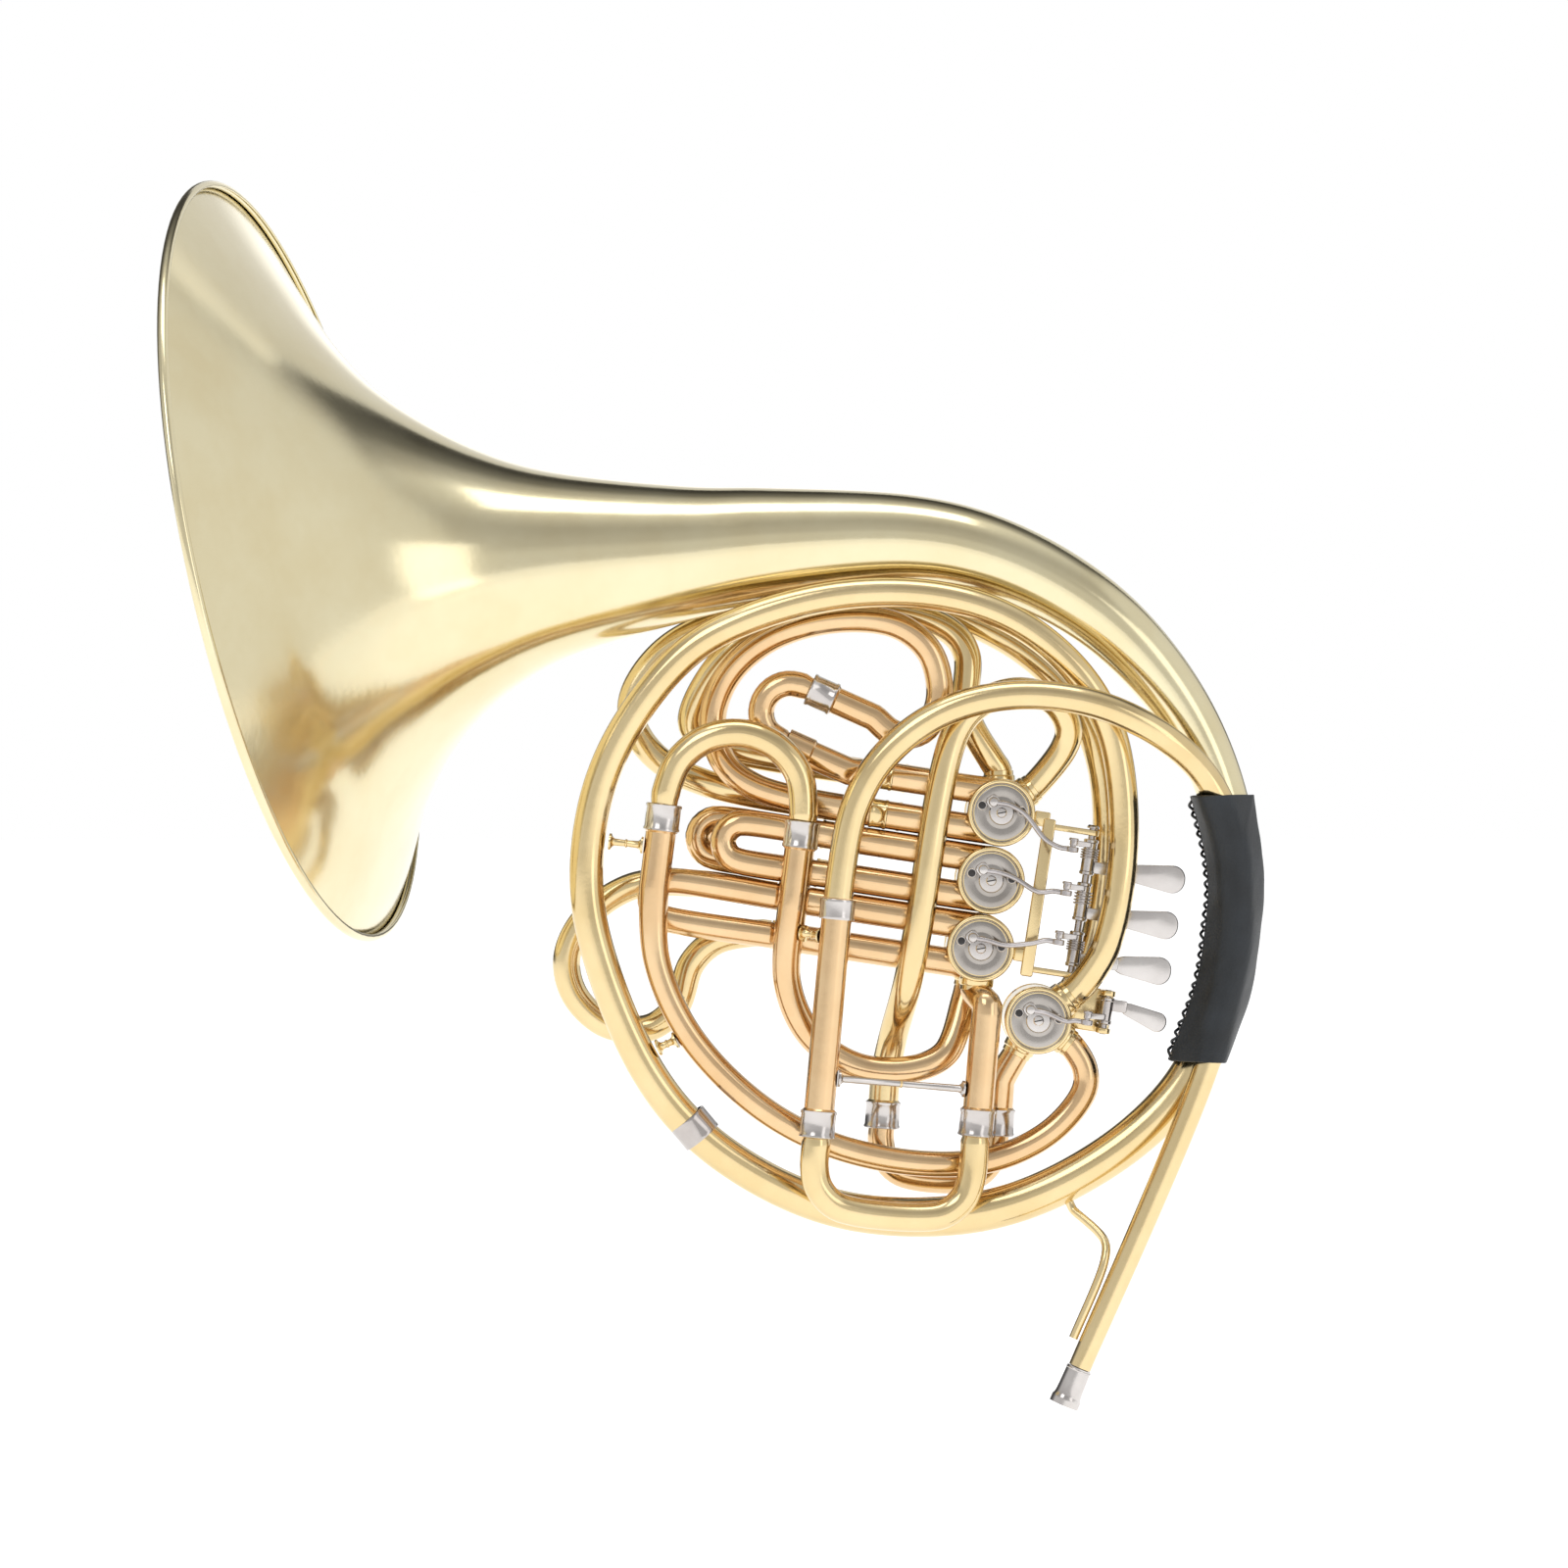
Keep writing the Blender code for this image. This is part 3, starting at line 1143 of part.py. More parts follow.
def make_bracket():
    """Carries the lever rod: a bar beside the valves, two ears and two feet."""
    bar = slab("lever_bracket", section_point(BAR_ACROSS, BAR_DEPTH, ROD_FOOT - 1.0),
               section_point(BAR_ACROSS, BAR_DEPTH, ROD_TOP + 1.0), 5.0, 5.0, DEPTHWISE, "brass")
    for label, along in (("top", ROD_TOP - 2.0), ("foot", ROD_FOOT + 2.0)):
        ear = slab("ear_" + label, section_point(BAR_ACROSS, ROD_DEPTH + 0.6, along),
                   section_point(ROD_ACROSS + 2.6, ROD_DEPTH + 0.6, along), 4.6, 2.4, ALONG)
        boolean(bar, ear, "UNION")
    for label, valve in (("top", "1"), ("foot", "3")):
        across, along = VALVES[valve]
        foot = slab("foot_" + label, section_point(CASING_RADIUS + GAP, BAR_DEPTH, along),
                    section_point(BAR_ACROSS, BAR_DEPTH, along), 6.0, 4.0, DEPTHWISE)
        boolean(bar, foot, "UNION")
    hole = rod_between("bracket_hole", section_point(ROD_ACROSS, ROD_DEPTH, ROD_FOOT - 2.0),
                       section_point(ROD_ACROSS, ROD_DEPTH, ROD_TOP + 2.0), ROD_RADIUS + GAP, sides=12)
    boolean(bar, hole, "DIFFERENCE")

    plate_depth = 11.0
    seat = CASING_RADIUS + GAP + THUMB_X
    plate = slab("thumb_bracket", section_point(seat, plate_depth, THUMB_Z + 7.0),
                 section_point(THUMB_ROD_ACROSS + 3.6, plate_depth, THUMB_Z + 7.0), 18.2, 2.4, DEPTHWISE, "brass")
    for label, along in (("top", THUMB_ROD_TOP - 1.4), ("foot", THUMB_ROD_FOOT + 1.4)):
        ear = slab("thumb_ear_" + label, section_point(THUMB_ROD_ACROSS, plate_depth + 1.0, along),
                   section_point(THUMB_ROD_ACROSS, ROD_DEPTH - 3.0, along), 6.0, 2.2, ALONG)
        boolean(plate, ear, "UNION")
    hole = rod_between("thumb_hole", section_point(THUMB_ROD_ACROSS, ROD_DEPTH, THUMB_ROD_FOOT - 2.0),
                       section_point(THUMB_ROD_ACROSS, ROD_DEPTH, THUMB_ROD_TOP + 2.0),
                       ROD_RADIUS + GAP, sides=12)
    boolean(plate, hole, "DIFFERENCE")


# Braces and ferrules find the tubes that they join

def nearest_on(name, place):
    """Nearest point of a tube's centreline to a place, with the tube's radius there."""
    best = None
    for here, there in zip(ROUTES[name], ROUTES[name][1:]):
        run = there - here
        length = run.xyz.length_squared
        share = 0.0 if length == 0 else max(0.0, min(1.0, (place - here.xyz).dot(run.xyz) / length))
        point = here + run * share
        if best is None or (point.xyz - place).length < (best.xyz - place).length:
            best = point
    return best


BRACE_RADIUS = 1.5
FLANGE_RADIUS = 3.4
FLANGE_THICKNESS = 1.0


def make_brace(name, first, second, place):
    """A turned rod with a flange at each end, between two tubes."""
    start = nearest_on(first, Vector(place))
    for _ in range(8):
        end = nearest_on(second, start.xyz)
        start = nearest_on(first, end.xyz)
    along = (end.xyz - start.xyz).normalized()
    low = start.xyz + along * (start.w + GAP)
    length = (end.xyz - start.xyz).length - start.w - end.w - 2 * GAP
    outline = [
        (0, length), (FLANGE_RADIUS, length), (FLANGE_RADIUS, length - FLANGE_THICKNESS),
        (BRACE_RADIUS, length - FLANGE_THICKNESS - 1.0), (BRACE_RADIUS, FLANGE_THICKNESS + 1.0),
        (FLANGE_RADIUS, FLANGE_THICKNESS), (FLANGE_RADIUS, 0), (0, 0),
    ]
    turn = Vector((0, 0, 1)).rotation_difference(along).to_matrix().to_4x4()
    turned(name, outline, Matrix.Translation(mm(*low)) @ turn, "brass", sides=6)


def make_ferrule(name, tube, place, length):
    """A ring round a tube, centred on the straight run nearest to a place."""
    route = ROUTES[tube]
    runs = sorted(zip(route, route[1:]), key=lambda run: ((run[0] + run[1]).xyz / 2 - Vector(place)).length)
    here, there = runs[0]
    axis = (there - here).xyz.normalized() * length / 2
    run = (there - here).xyz.length
    spare = length / 2 + GAP
    reach = (Vector(place) - here.xyz).dot(axis.normalized())
    middle = here + (there - here) * (max(spare, min(run - spare, reach)) / run)
    radius = max(here.w, there.w) + GAP + FERRULE_STEP
    sweep(name, points_of([at(middle.xyz - axis, radius), at(middle.xyz + axis, radius)]), "nickel", wall=FERRULE_STEP)


def make_leadpipe_brace():
    """Bent rod from under the large circle down the leadpipe's side."""
    foot = nearest_on("first_branch", Vector((-74.0, 0.0, -120.0)))
    down = Vector((0.43, -0.1, -0.9)).normalized()
    lead = nearest_on("leadpipe", Vector((-61.0, -17.5, -187.0)))
    side = Vector((-0.92, 0.0, 0.39))
    beside = lead.w + 1.8 + GAP
    points = [
        at(foot.xyz + down * (foot.w + 2 * GAP), 1.8),
        (-62.0, -7.0, -137.5, 1.8),
        (-55.0, -12.0, -145.0, 1.8),
    ]
    upper = nearest_on("leadpipe", Vector((-49.0, -17.0, -158.0)))
    points.append(at(upper.xyz + side * (beside + 0.4), 1.8))
    points.append(at(lead.xyz + side * (beside + 0.2), 1.8))
    route = thin(smooth(points, down, Vector((-0.39, 0, -0.92))))
    sweep("leadpipe_brace", route, "brass", wall=None)


make_bell()
make_rim_wire()
make_branch()
make_leadpipe()
make_main_slide()
make_f_slide()
make_bb_slide()
for valve in VALVES:
    make_casing(valve)
    make_cap(valve)
    make_rotor(valve)
make_first_loop()
make_first_return()
make_outer_loops()
make_valve_slides()
make_guard()
make_levers()
make_bracket()
make_ferrule("branch_ferrule", "first_branch", (-216.0, -9.0, -99.0), 10.0)
make_ferrule("leadpipe_ferrule", "main_sleeve_left", LEADPIPE_END, 8.0)
make_brace("brace_upper_left", "first_branch", "second_branch", (-246.0, F_LAYER, 16.6))
make_brace("brace_lower_left", "first_branch", "second_branch", (-228.0, F_LAYER, -76.0))
make_brace("brace_sleeves", "f_feed", "main_sleeve_left", (-168.0, -20.0, -27.0))
make_brace("brace_main_slide", "main_sleeve_left", "main_sleeve_right", (-140.0, -20.0, -82.0))
make_brace("brace_third_loop", "second_branch", "third_loop", (-228.0, 0.0, -55.0))
make_leadpipe_brace()
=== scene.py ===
import json
import math

import bmesh
import bpy
import numpy as np
from mathutils import Matrix, Vector

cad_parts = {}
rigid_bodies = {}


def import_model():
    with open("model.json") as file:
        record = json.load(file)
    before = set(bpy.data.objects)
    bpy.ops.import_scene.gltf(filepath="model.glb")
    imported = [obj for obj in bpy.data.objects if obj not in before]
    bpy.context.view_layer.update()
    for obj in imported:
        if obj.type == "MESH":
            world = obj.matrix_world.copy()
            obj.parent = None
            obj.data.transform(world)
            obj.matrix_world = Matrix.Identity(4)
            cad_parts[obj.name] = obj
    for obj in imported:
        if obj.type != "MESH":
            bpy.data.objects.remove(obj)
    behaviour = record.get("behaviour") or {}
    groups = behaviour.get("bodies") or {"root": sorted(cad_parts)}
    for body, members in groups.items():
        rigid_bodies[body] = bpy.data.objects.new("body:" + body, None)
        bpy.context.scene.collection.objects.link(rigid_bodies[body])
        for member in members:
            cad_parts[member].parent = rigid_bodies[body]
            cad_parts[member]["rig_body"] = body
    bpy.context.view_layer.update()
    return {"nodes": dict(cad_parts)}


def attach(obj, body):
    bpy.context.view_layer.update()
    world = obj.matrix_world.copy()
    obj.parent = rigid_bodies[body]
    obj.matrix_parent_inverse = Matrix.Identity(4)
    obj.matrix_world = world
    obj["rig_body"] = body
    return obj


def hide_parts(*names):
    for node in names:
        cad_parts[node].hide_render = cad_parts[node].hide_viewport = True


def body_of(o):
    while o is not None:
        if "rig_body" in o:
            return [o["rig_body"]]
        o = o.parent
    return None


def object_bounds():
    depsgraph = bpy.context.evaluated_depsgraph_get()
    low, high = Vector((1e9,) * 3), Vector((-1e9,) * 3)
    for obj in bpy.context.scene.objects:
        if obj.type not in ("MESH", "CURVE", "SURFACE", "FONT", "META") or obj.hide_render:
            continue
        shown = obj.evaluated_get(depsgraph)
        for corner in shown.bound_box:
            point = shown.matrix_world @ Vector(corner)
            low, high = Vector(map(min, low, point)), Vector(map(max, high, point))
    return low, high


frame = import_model()
NODES = frame["nodes"]
BODY = {name: body_of(thing)[0] for name, thing in NODES.items()}
MM = 0.001

# Places shared by the pieces, in metres

TILT = math.radians(8.7)
ACROSS = Vector((math.cos(TILT), 0, -math.sin(TILT)))
ALONG = Vector((math.sin(TILT), 0, math.cos(TILT)))
FRONT = Vector((0, -1, 0))
SECTION = Vector((-100.3, 0, -1.2)) * MM
VALVES = {"1": (0, 27.5), "2": (0, 0), "3": (0, -27.5), "thumb": (27.2, -52.6)}


def place(across, depth, along):
    """World point of the valve section: across, towards the back, and up the row of valves."""
    return SECTION + (ACROSS * across + ALONG * along - FRONT * depth) * MM


# Materials

def metal(name, colour, roughness, tarnish, tint, coat=0.0, grain=260.0):
    """Polished metal: a faint cloudy tarnish, polish lines and finger marks in its gloss."""
    made = bpy.data.materials.new(name)
    made.use_nodes = True
    tree = made.node_tree
    shader = tree.nodes["Principled BSDF"]
    shader.inputs["Metallic"].default_value = 1.0
    shader.inputs["Coat Weight"].default_value = coat
    shader.inputs["Coat Roughness"].default_value = 0.06
    where = tree.nodes.new("ShaderNodeTexCoord")
    clouds = tree.nodes.new("ShaderNodeTexNoise")
    clouds.inputs["Scale"].default_value = 22.0
    clouds.inputs["Detail"].default_value = 6.0
    clouds.inputs["Roughness"].default_value = 0.62
    tone = tree.nodes.new("ShaderNodeValToRGB")
    tone.color_ramp.elements[0].position = 0.30
    tone.color_ramp.elements[0].color = (*tint, 1)
    tone.color_ramp.elements[1].position = 0.62
    tone.color_ramp.elements[1].color = (*colour, 1)
    lines = tree.nodes.new("ShaderNodeTexNoise")
    lines.inputs["Scale"].default_value = grain
    lines.inputs["Detail"].default_value = 3.0
    gloss = tree.nodes.new("ShaderNodeMapRange")
    gloss.inputs["From Min"].default_value = 0.3
    gloss.inputs["From Max"].default_value = 0.75
    gloss.inputs["To Min"].default_value = roughness
    gloss.inputs["To Max"].default_value = roughness + tarnish
    dents = tree.nodes.new("ShaderNodeBump")
    dents.inputs["Strength"].default_value = 0.05
    dents.inputs["Distance"].default_value = 0.0004
    tree.links.new(where.outputs["Object"], clouds.inputs["Vector"])
    tree.links.new(where.outputs["Object"], lines.inputs["Vector"])
    tree.links.new(clouds.outputs["Fac"], tone.inputs["Fac"])
    tree.links.new(clouds.outputs["Fac"], gloss.inputs["Value"])
    tree.links.new(tone.outputs["Color"], shader.inputs["Base Color"])
    tree.links.new(gloss.outputs["Result"], shader.inputs["Roughness"])
    tree.links.new(lines.outputs["Fac"], dents.inputs["Height"])
    tree.links.new(dents.outputs["Normal"], shader.inputs["Normal"])
    return made


def hide_leather(name, colour):
    """Black leather: pebbled grain, soft creases and a worn sheen."""
    made = bpy.data.materials.new(name)
    made.use_nodes = True
    tree = made.node_tree
    shader = tree.nodes["Principled BSDF"]
    shader.inputs["Specular IOR Level"].default_value = 0.45
    where = tree.nodes.new("ShaderNodeTexCoord")
    pebbles = tree.nodes.new("ShaderNodeTexVoronoi")
    pebbles.inputs["Scale"].default_value = 900.0
    creases = tree.nodes.new("ShaderNodeTexNoise")
    creases.inputs["Scale"].default_value = 60.0
    creases.inputs["Detail"].default_value = 7.0
    tone = tree.nodes.new("ShaderNodeValToRGB")
    tone.color_ramp.elements[0].position = 0.35
    tone.color_ramp.elements[0].color = (*colour, 1)
    tone.color_ramp.elements[1].position = 0.8
    tone.color_ramp.elements[1].color = (colour[0] * 2.6, colour[1] * 2.6, colour[2] * 2.7, 1)
    gloss = tree.nodes.new("ShaderNodeMapRange")
    gloss.inputs["To Min"].default_value = 0.42
    gloss.inputs["To Max"].default_value = 0.62
    grain = tree.nodes.new("ShaderNodeBump")
    grain.inputs["Strength"].default_value = 0.35
    grain.inputs["Distance"].default_value = 0.0002
    folds = tree.nodes.new("ShaderNodeBump")
    folds.inputs["Strength"].default_value = 0.3
    folds.inputs["Distance"].default_value = 0.0008
    for texture in (pebbles, creases):
        tree.links.new(where.outputs["Object"], texture.inputs["Vector"])
    tree.links.new(creases.outputs["Fac"], tone.inputs["Fac"])
    tree.links.new(creases.outputs["Fac"], gloss.inputs["Value"])
    tree.links.new(tone.outputs["Color"], shader.inputs["Base Color"])
    tree.links.new(gloss.outputs["Result"], shader.inputs["Roughness"])
    tree.links.new(pebbles.outputs["Distance"], grain.inputs["Height"])
    tree.links.new(creases.outputs["Fac"], folds.inputs["Height"])
    tree.links.new(folds.outputs["Normal"], grain.inputs["Normal"])
    tree.links.new(grain.outputs["Normal"], shader.inputs["Normal"])
    return made


BRASS = metal("lacquered_brass", (0.80, 0.64, 0.36), 0.11, 0.10, (0.72, 0.55, 0.28), coat=0.1)
BELL_BRASS = metal("bell_brass", (0.80, 0.72, 0.48), 0.12, 0.08, (0.76, 0.66, 0.41), coat=0.1)
ROSE = metal("gold_brass", (0.79, 0.57, 0.33), 0.11, 0.10, (0.70, 0.46, 0.24), coat=0.1)
NICKEL = metal("nickel_silver", (0.66, 0.63, 0.61), 0.13, 0.12, (0.46, 0.42, 0.40))
PLATE = metal("bearing_plate", (0.46, 0.43, 0.40), 0.10, 0.2, (0.30, 0.27, 0.24))
STEEL = metal("linkage_steel", (0.56, 0.53, 0.53), 0.22, 0.16, (0.38, 0.35, 0.34))
LEATHER = hide_leather("guard_leather", (0.008, 0.010, 0.012))
# Black rubber for the bumpers; the same dark material is also the painted shade inside the screw slots.
RUBBER_AND_SLOT_SHADE = hide_leather("bumper_rubber_and_slot_shade", (0.02, 0.018, 0.017))


def settle(name, mesh, finish, body, stands_for=()):
    """Puts a finished mesh in the scene on its body, in place of its CAD nodes."""
    mesh.name = name
    mesh.materials.clear()
    mesh.materials.append(finish)
    mesh.polygons.foreach_set("use_smooth", [True] * len(mesh.polygons))
    mesh.set_sharp_from_angle(angle=math.radians(38))
    piece = bpy.data.objects.new(name, mesh)
    bpy.context.scene.collection.objects.link(piece)
    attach(piece, body)
    if stands_for:
        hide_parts(*stands_for)
    return piece


def settle_bmesh(name, body_mesh, finish, body, stands_for=()):
    mesh = bpy.data.meshes.new(name)
    body_mesh.to_mesh(mesh)
    body_mesh.free()
    return settle(name, mesh, finish, body, stands_for)


def baked(thing):
    """The mesh of an object with its modifiers applied, and the object removed."""
    deps = bpy.context.evaluated_depsgraph_get()
    mesh = bpy.data.meshes.new_from_object(thing.evaluated_get(deps))
    mesh.transform(thing.matrix_world)
    bpy.data.objects.remove(thing, do_unlink=True)
    return mesh


# Tubes: each CAD tube's rings give its spine, and a round tube is drawn along it

def merged(node):
    copy = bmesh.new()
    copy.from_mesh(NODES[node].data)
    bmesh.ops.remove_doubles(copy, verts=copy.verts, dist=0.000001)
    copy.normal_update()
    copy.verts.index_update()
    copy.verts.ensure_lookup_table()
    return copy


def flat_ends(copy):
    """Sets of vertices that make up a tube's flat ends: a ring or a disc of one plane."""
    seen, ends = set(), []
    for face in copy.faces:
        if face in seen:
            continue
        group, edge_of = {face}, [face]
        while edge_of:
            here = edge_of.pop()
            for edge in here.edges:
                for there in edge.link_faces:
                    if there not in group and there.normal.dot(face.normal) > 0.99995:
                        group.add(there)
                        edge_of.append(there)
        seen |= group
        verts = {vert for member in group for vert in member.verts}
        centre = sum((vert.co for vert in verts), Vector()) / len(verts)
        reach = max((vert.co - centre).length for vert in verts)
        round_ones = [vert for vert in verts if (vert.co - centre).length > 0.97 * reach]
        if len(round_ones) >= 6 and len(group) >= 6:
            ends.append(verts)
    return ends


def layers(node, near=None):
    """The rings of a CAD tube from one end to the other, as arrays of points."""
    copy = merged(node)
    if near:
        centre, reach = Vector(near[0]) * MM, near[1] * MM
        start = {vert for vert in copy.verts if abs(vert.co.z - centre.z) < 0.4 * MM
                 and (vert.co - centre).length < reach}
    else:
        start = max(flat_ends(copy), key=len)
    size = len(start)
    seen, layer, found = set(start), list(start), []
    ridges = {edge for edge in copy.edges if near or edge.calc_face_angle() > math.radians(20)}
    while layer:
        found.append(np.array([tuple(vert.co) for vert in layer]))
        ahead = {edge.other_vert(vert) for vert in layer for edge in vert.link_edges if edge in ridges} - seen
        if 0 < len(ahead) < size:       # a corner whose edge to the last ring is too flat to count
            beside = {edge.other_vert(vert) for vert in ahead for edge in vert.link_edges} - seen - ahead
            for vert in sorted(beside, key=lambda vert: vert.index):
                linked = [edge.other_vert(vert) for edge in vert.link_edges]
                if sum(other in ahead for other in linked) >= 2 and any(other in layer for other in linked):
                    ahead.add(vert)
        seen |= ahead
        layer = list(ahead)
    copy.free()
    if any(len(ring) != size for ring in found):
        print("uneven rings:", node, [len(ring) for ring in found])
    return [ring for ring in found if len(ring) == size]


def spine(node):
    """Centre and outer radius of each of a CAD tube's rings."""
    rings = layers(node)
    if rings[0].mean(0)[2] < rings[-1].mean(0)[2]:
        rings = rings[::-1]
    centres = [Vector(ring.mean(0)) for ring in rings]
    radii = [float(np.linalg.norm(ring - ring.mean(0), axis=1).max()) for ring in rings]
    return centres, radii


def finer(rows, step):
    """Rows of numbers drawn finer by a smooth curve; the first four give the distances."""
    rows = [np.asarray(row, float) for row in rows]
    rows = [rows[0] * 2 - rows[1]] + rows + [rows[-1] * 2 - rows[-2]]
    fine = []
    for p0, p1, p2, p3 in zip(rows, rows[1:], rows[2:], rows[3:]):
        t1, t2, t3 = (math.sqrt(np.linalg.norm((b - a)[:4])) or 0.01 for a, b in ((p0, p1), (p1, p2), (p2, p3)))
        m1 = ((p1 - p0) / t1 - (p2 - p0) / (t1 + t2) + (p2 - p1) / t2) * t2
        m2 = ((p2 - p1) / t2 - (p3 - p1) / (t2 + t3) + (p3 - p2) / t3) * t2
        length = np.linalg.norm((p2 - p1)[:4])
        count = 1 if length < step * 1.4 else math.ceil(length / step)
        for i in range(count):
            t = i / count
            row = (p1 * (2 * t ** 3 - 3 * t ** 2 + 1) + m1 * (t ** 3 - 2 * t ** 2 + t)
                   + p2 * (3 * t ** 2 - 2 * t ** 3) + m2 * (t ** 3 - t ** 2))
            row[3] = np.clip(row[3], min(p1[3], p2[3]), max(p1[3], p2[3]))
            fine.append(row)
    return fine + [rows[-2]]


def flowing(centres, radii, step=0.0022):
    """A smooth line through a tube's ring centres, its radius easing from ring to ring."""
    rows = finer([(*centre, radius) for centre, radius in zip(centres, radii)], step)
    return [(Vector(row[:3]), float(row[3])) for row in rows]


def pipe(line, wall=0.0005, sides=32):
    """A round tube along a line of (point, radius), open with a wall or solid without."""
    curve = bpy.data.curves.new("pipe", "CURVE")
    curve.dimensions = "3D"
    widest = max(radius for _, radius in line)
    curve.bevel_depth = widest
    curve.bevel_resolution = sides // 2 - 2
    curve.use_fill_caps = wall is None
    course = curve.splines.new("POLY")
    course.points.add(len(line) - 1)
    for knot, (point, radius) in zip(course.points, line):
        knot.co = (*point, 1)
        knot.radius = radius / widest
    drawn = bpy.data.objects.new("pipe", curve)
    bpy.context.scene.collection.objects.link(drawn)
    if wall is not None:
        shell = drawn.modifiers.new("Wall", "SOLIDIFY")
        shell.thickness = wall
        shell.offset = -1
    return baked(drawn)


def turned(name, profile, centre, axis, finish, body, stands_for=(), steps=40):
    """A turned piece from (radius, height) in millimetres, its height along the axis."""
    shape = bmesh.new()
    points = [shape.verts.new((radius * MM, 0, height * MM)) for radius, height in profile]
    edges = [shape.edges.new(pair) for pair in zip(points, points[1:])]
    if profile[0][0] > 0 and profile[-1][0] > 0:
        edges.append(shape.edges.new((points[-1], points[0])))
    bmesh.ops.spin(shape, geom=points + edges, cent=(0, 0, 0), axis=(0, 0, 1), angle=2 * math.pi,
                   steps=steps, use_merge=True)
    bmesh.ops.remove_doubles(shape, verts=shape.verts, dist=0.000002)
    bmesh.ops.recalc_face_normals(shape, faces=shape.faces)
    turn = Vector((0, 0, 1)).rotation_difference(Vector(axis).normalized()).to_matrix().to_4x4()
    bmesh.ops.transform(shape, matrix=Matrix.Translation(centre) @ turn, verts=shape.verts)
    return settle_bmesh(name, shape, finish, body, stands_for)


def bead(radius, thick):
    """Profile of a round ring, radius and thickness in millimetres."""
    return [(radius + thick * math.cos(a), thick * math.sin(a)) for a in np.linspace(0, 2 * math.pi, 13)[:-1]]


def band(radius, length, edge=0.35, wall=0.5):
    """Profile of a ferrule: a short sleeve with rounded ends and a bead at each."""
    half = length / 2
    return [
        (radius - wall, -half), (radius, -half), (radius + edge, -half + 0.25), (radius + edge, -half + 1.1),
        (radius + 0.05, -half + 1.5), (radius + 0.05, half - 1.5), (radius + edge, half - 1.1),
        (radius + edge, half - 0.25), (radius, half), (radius - wall, half),
    ]


def steps_of(centres, radii):
    """Where a tube's radius jumps, as the ring before the jump."""
    return [k for k in range(len(radii) - 1)
            if abs(radii[k + 1] - radii[k]) > 0.35 * MM and (centres[k + 1] - centres[k]).length < 2.2 * MM]


SPINES = {}


SLIMMER = {"first_slide": 0.98, "first_loop": 0.985}    # round tubes that pass each other closely
NO_BANDS = {"first_return", "leadpipe_brace"}           # the F slide's bow passes close over the return


def draw_tube(node, finish, wall=0.0005, sides=32):
    """Replaces a CAD tube by a round one, with a silver band on each widened end."""
    centres, radii = spine(node)
    SPINES[node] = flowing(centres, [radius * SLIMMER.get(node, 1.0) for radius in radii])
    settle(node + "_tube", pipe(SPINES[node], wall, sides), finish, BODY[node], (node,))
    if node in NO_BANDS:
        return
    for number, k in enumerate(steps_of(centres, radii)):
        for end, far in ((k, 0), (k + 1, len(radii) - 1)):
            inner = radii[k + 1] if end == k else radii[k]
            length = (centres[end] - centres[far]).length
            if radii[end] > inner and 0.006 < length < 0.02:
                middle = (centres[end] + centres[far]) / 2
                turned("%s_band_%d" % (node, number), band(radii[end] / MM + 0.12, length / MM - 0.1),
                       middle, centres[end] - centres[far], NICKEL, BODY[node])


BRASS_TUBES = ["first_branch", "leadpipe", "main_tuning_slide", "f_tuning_slide", "bb_branch", "outer_loop",
               "middle_loop", "third_loop"]
ROSE_TUBES = ["main_sleeve_left", "main_sleeve_right", "second_branch", "f_feed", "bb_sleeve", "bb_tuning_slide",
              "first_loop", "first_return", "first_slide", "second_slide", "second_rear_slide", "third_slide"]
for node in BRASS_TUBES:
    draw_tube(node, BRASS)
for node in ROSE_TUBES:
    draw_tube(node, ROSE)
draw_tube("leadpipe_brace", BRASS, wall=None, sides=20)


def draw_band(node, finish):
    """A ferrule on a straight run of tube, with three beads."""
    centres, radii = spine(node)
    length = (centres[-1] - centres[0]).length / MM
    middle = (centres[0] + centres[-1]) / 2
    turned(node + "_band", band(radii[0] / MM - 0.1, length, 0.1, 0.6), middle, centres[-1] - centres[0],
           finish, BODY[node], (node,))


draw_band("branch_ferrule", NICKEL)
draw_band("leadpipe_ferrule", NICKEL)


def draw_receiver():
    """The receiver: a swelling sleeve with a heavy ring at its mouth."""
    centres, radii = spine("receiver")
    if (centres[0].z) < centres[-1].z:
        centres, radii = centres[::-1], radii[::-1]
    line = flowing(centres, radii, 0.0008)
    settle("receiver_sleeve", pipe(line, 0.0011, 40), NICKEL, "horn", ("receiver",))
    axis = (centres[-1] - centres[-2]).normalized()
    end = radii[-1] / MM
    turned("receiver_ring", bead(end - 0.55, 0.5), centres[-1] - axis * 1.1 * MM, axis, NICKEL, "horn")
    turned("receiver_collar", bead(radii[0] / MM - 0.25, 0.5), centres[0] + axis * 0.9 * MM, axis, NICKEL, "horn")


draw_receiver()


# Bell: its rings fitted by planes, then drawn finer

def plane_of(ring, ahead):
    centre = ring.mean(0)
    normal = Vector(np.linalg.svd(ring - centre)[2][2])
    return Vector(centre), normal if normal.dot(ahead) > 0 else -normal


def ring_place(centre, normal):
    """Frame of a ring, its local z out of its face and its local y towards the back."""
    back = (Vector((0, 1, 0)) - normal * normal.y).normalized()
    side = back.cross(normal)
    return Matrix.Translation(centre) @ Matrix((side, back, normal)).transposed().to_4x4()


def lofted(rings, sides):
    """A surface bridged from circle to circle, each a frame and a radius."""
    shape = bmesh.new()
    loops = []
    for frame_of, radius in rings:
        made = bmesh.ops.create_circle(shape, segments=sides, radius=radius, matrix=frame_of)
        loops.append(list({edge for vert in made["verts"] for edge in vert.link_edges}))
    for first, second in zip(loops, loops[1:]):
        bmesh.ops.bridge_loops(shape, edges=first + second)
    bmesh.ops.recalc_face_normals(shape, faces=shape.faces)
    return shape, loops


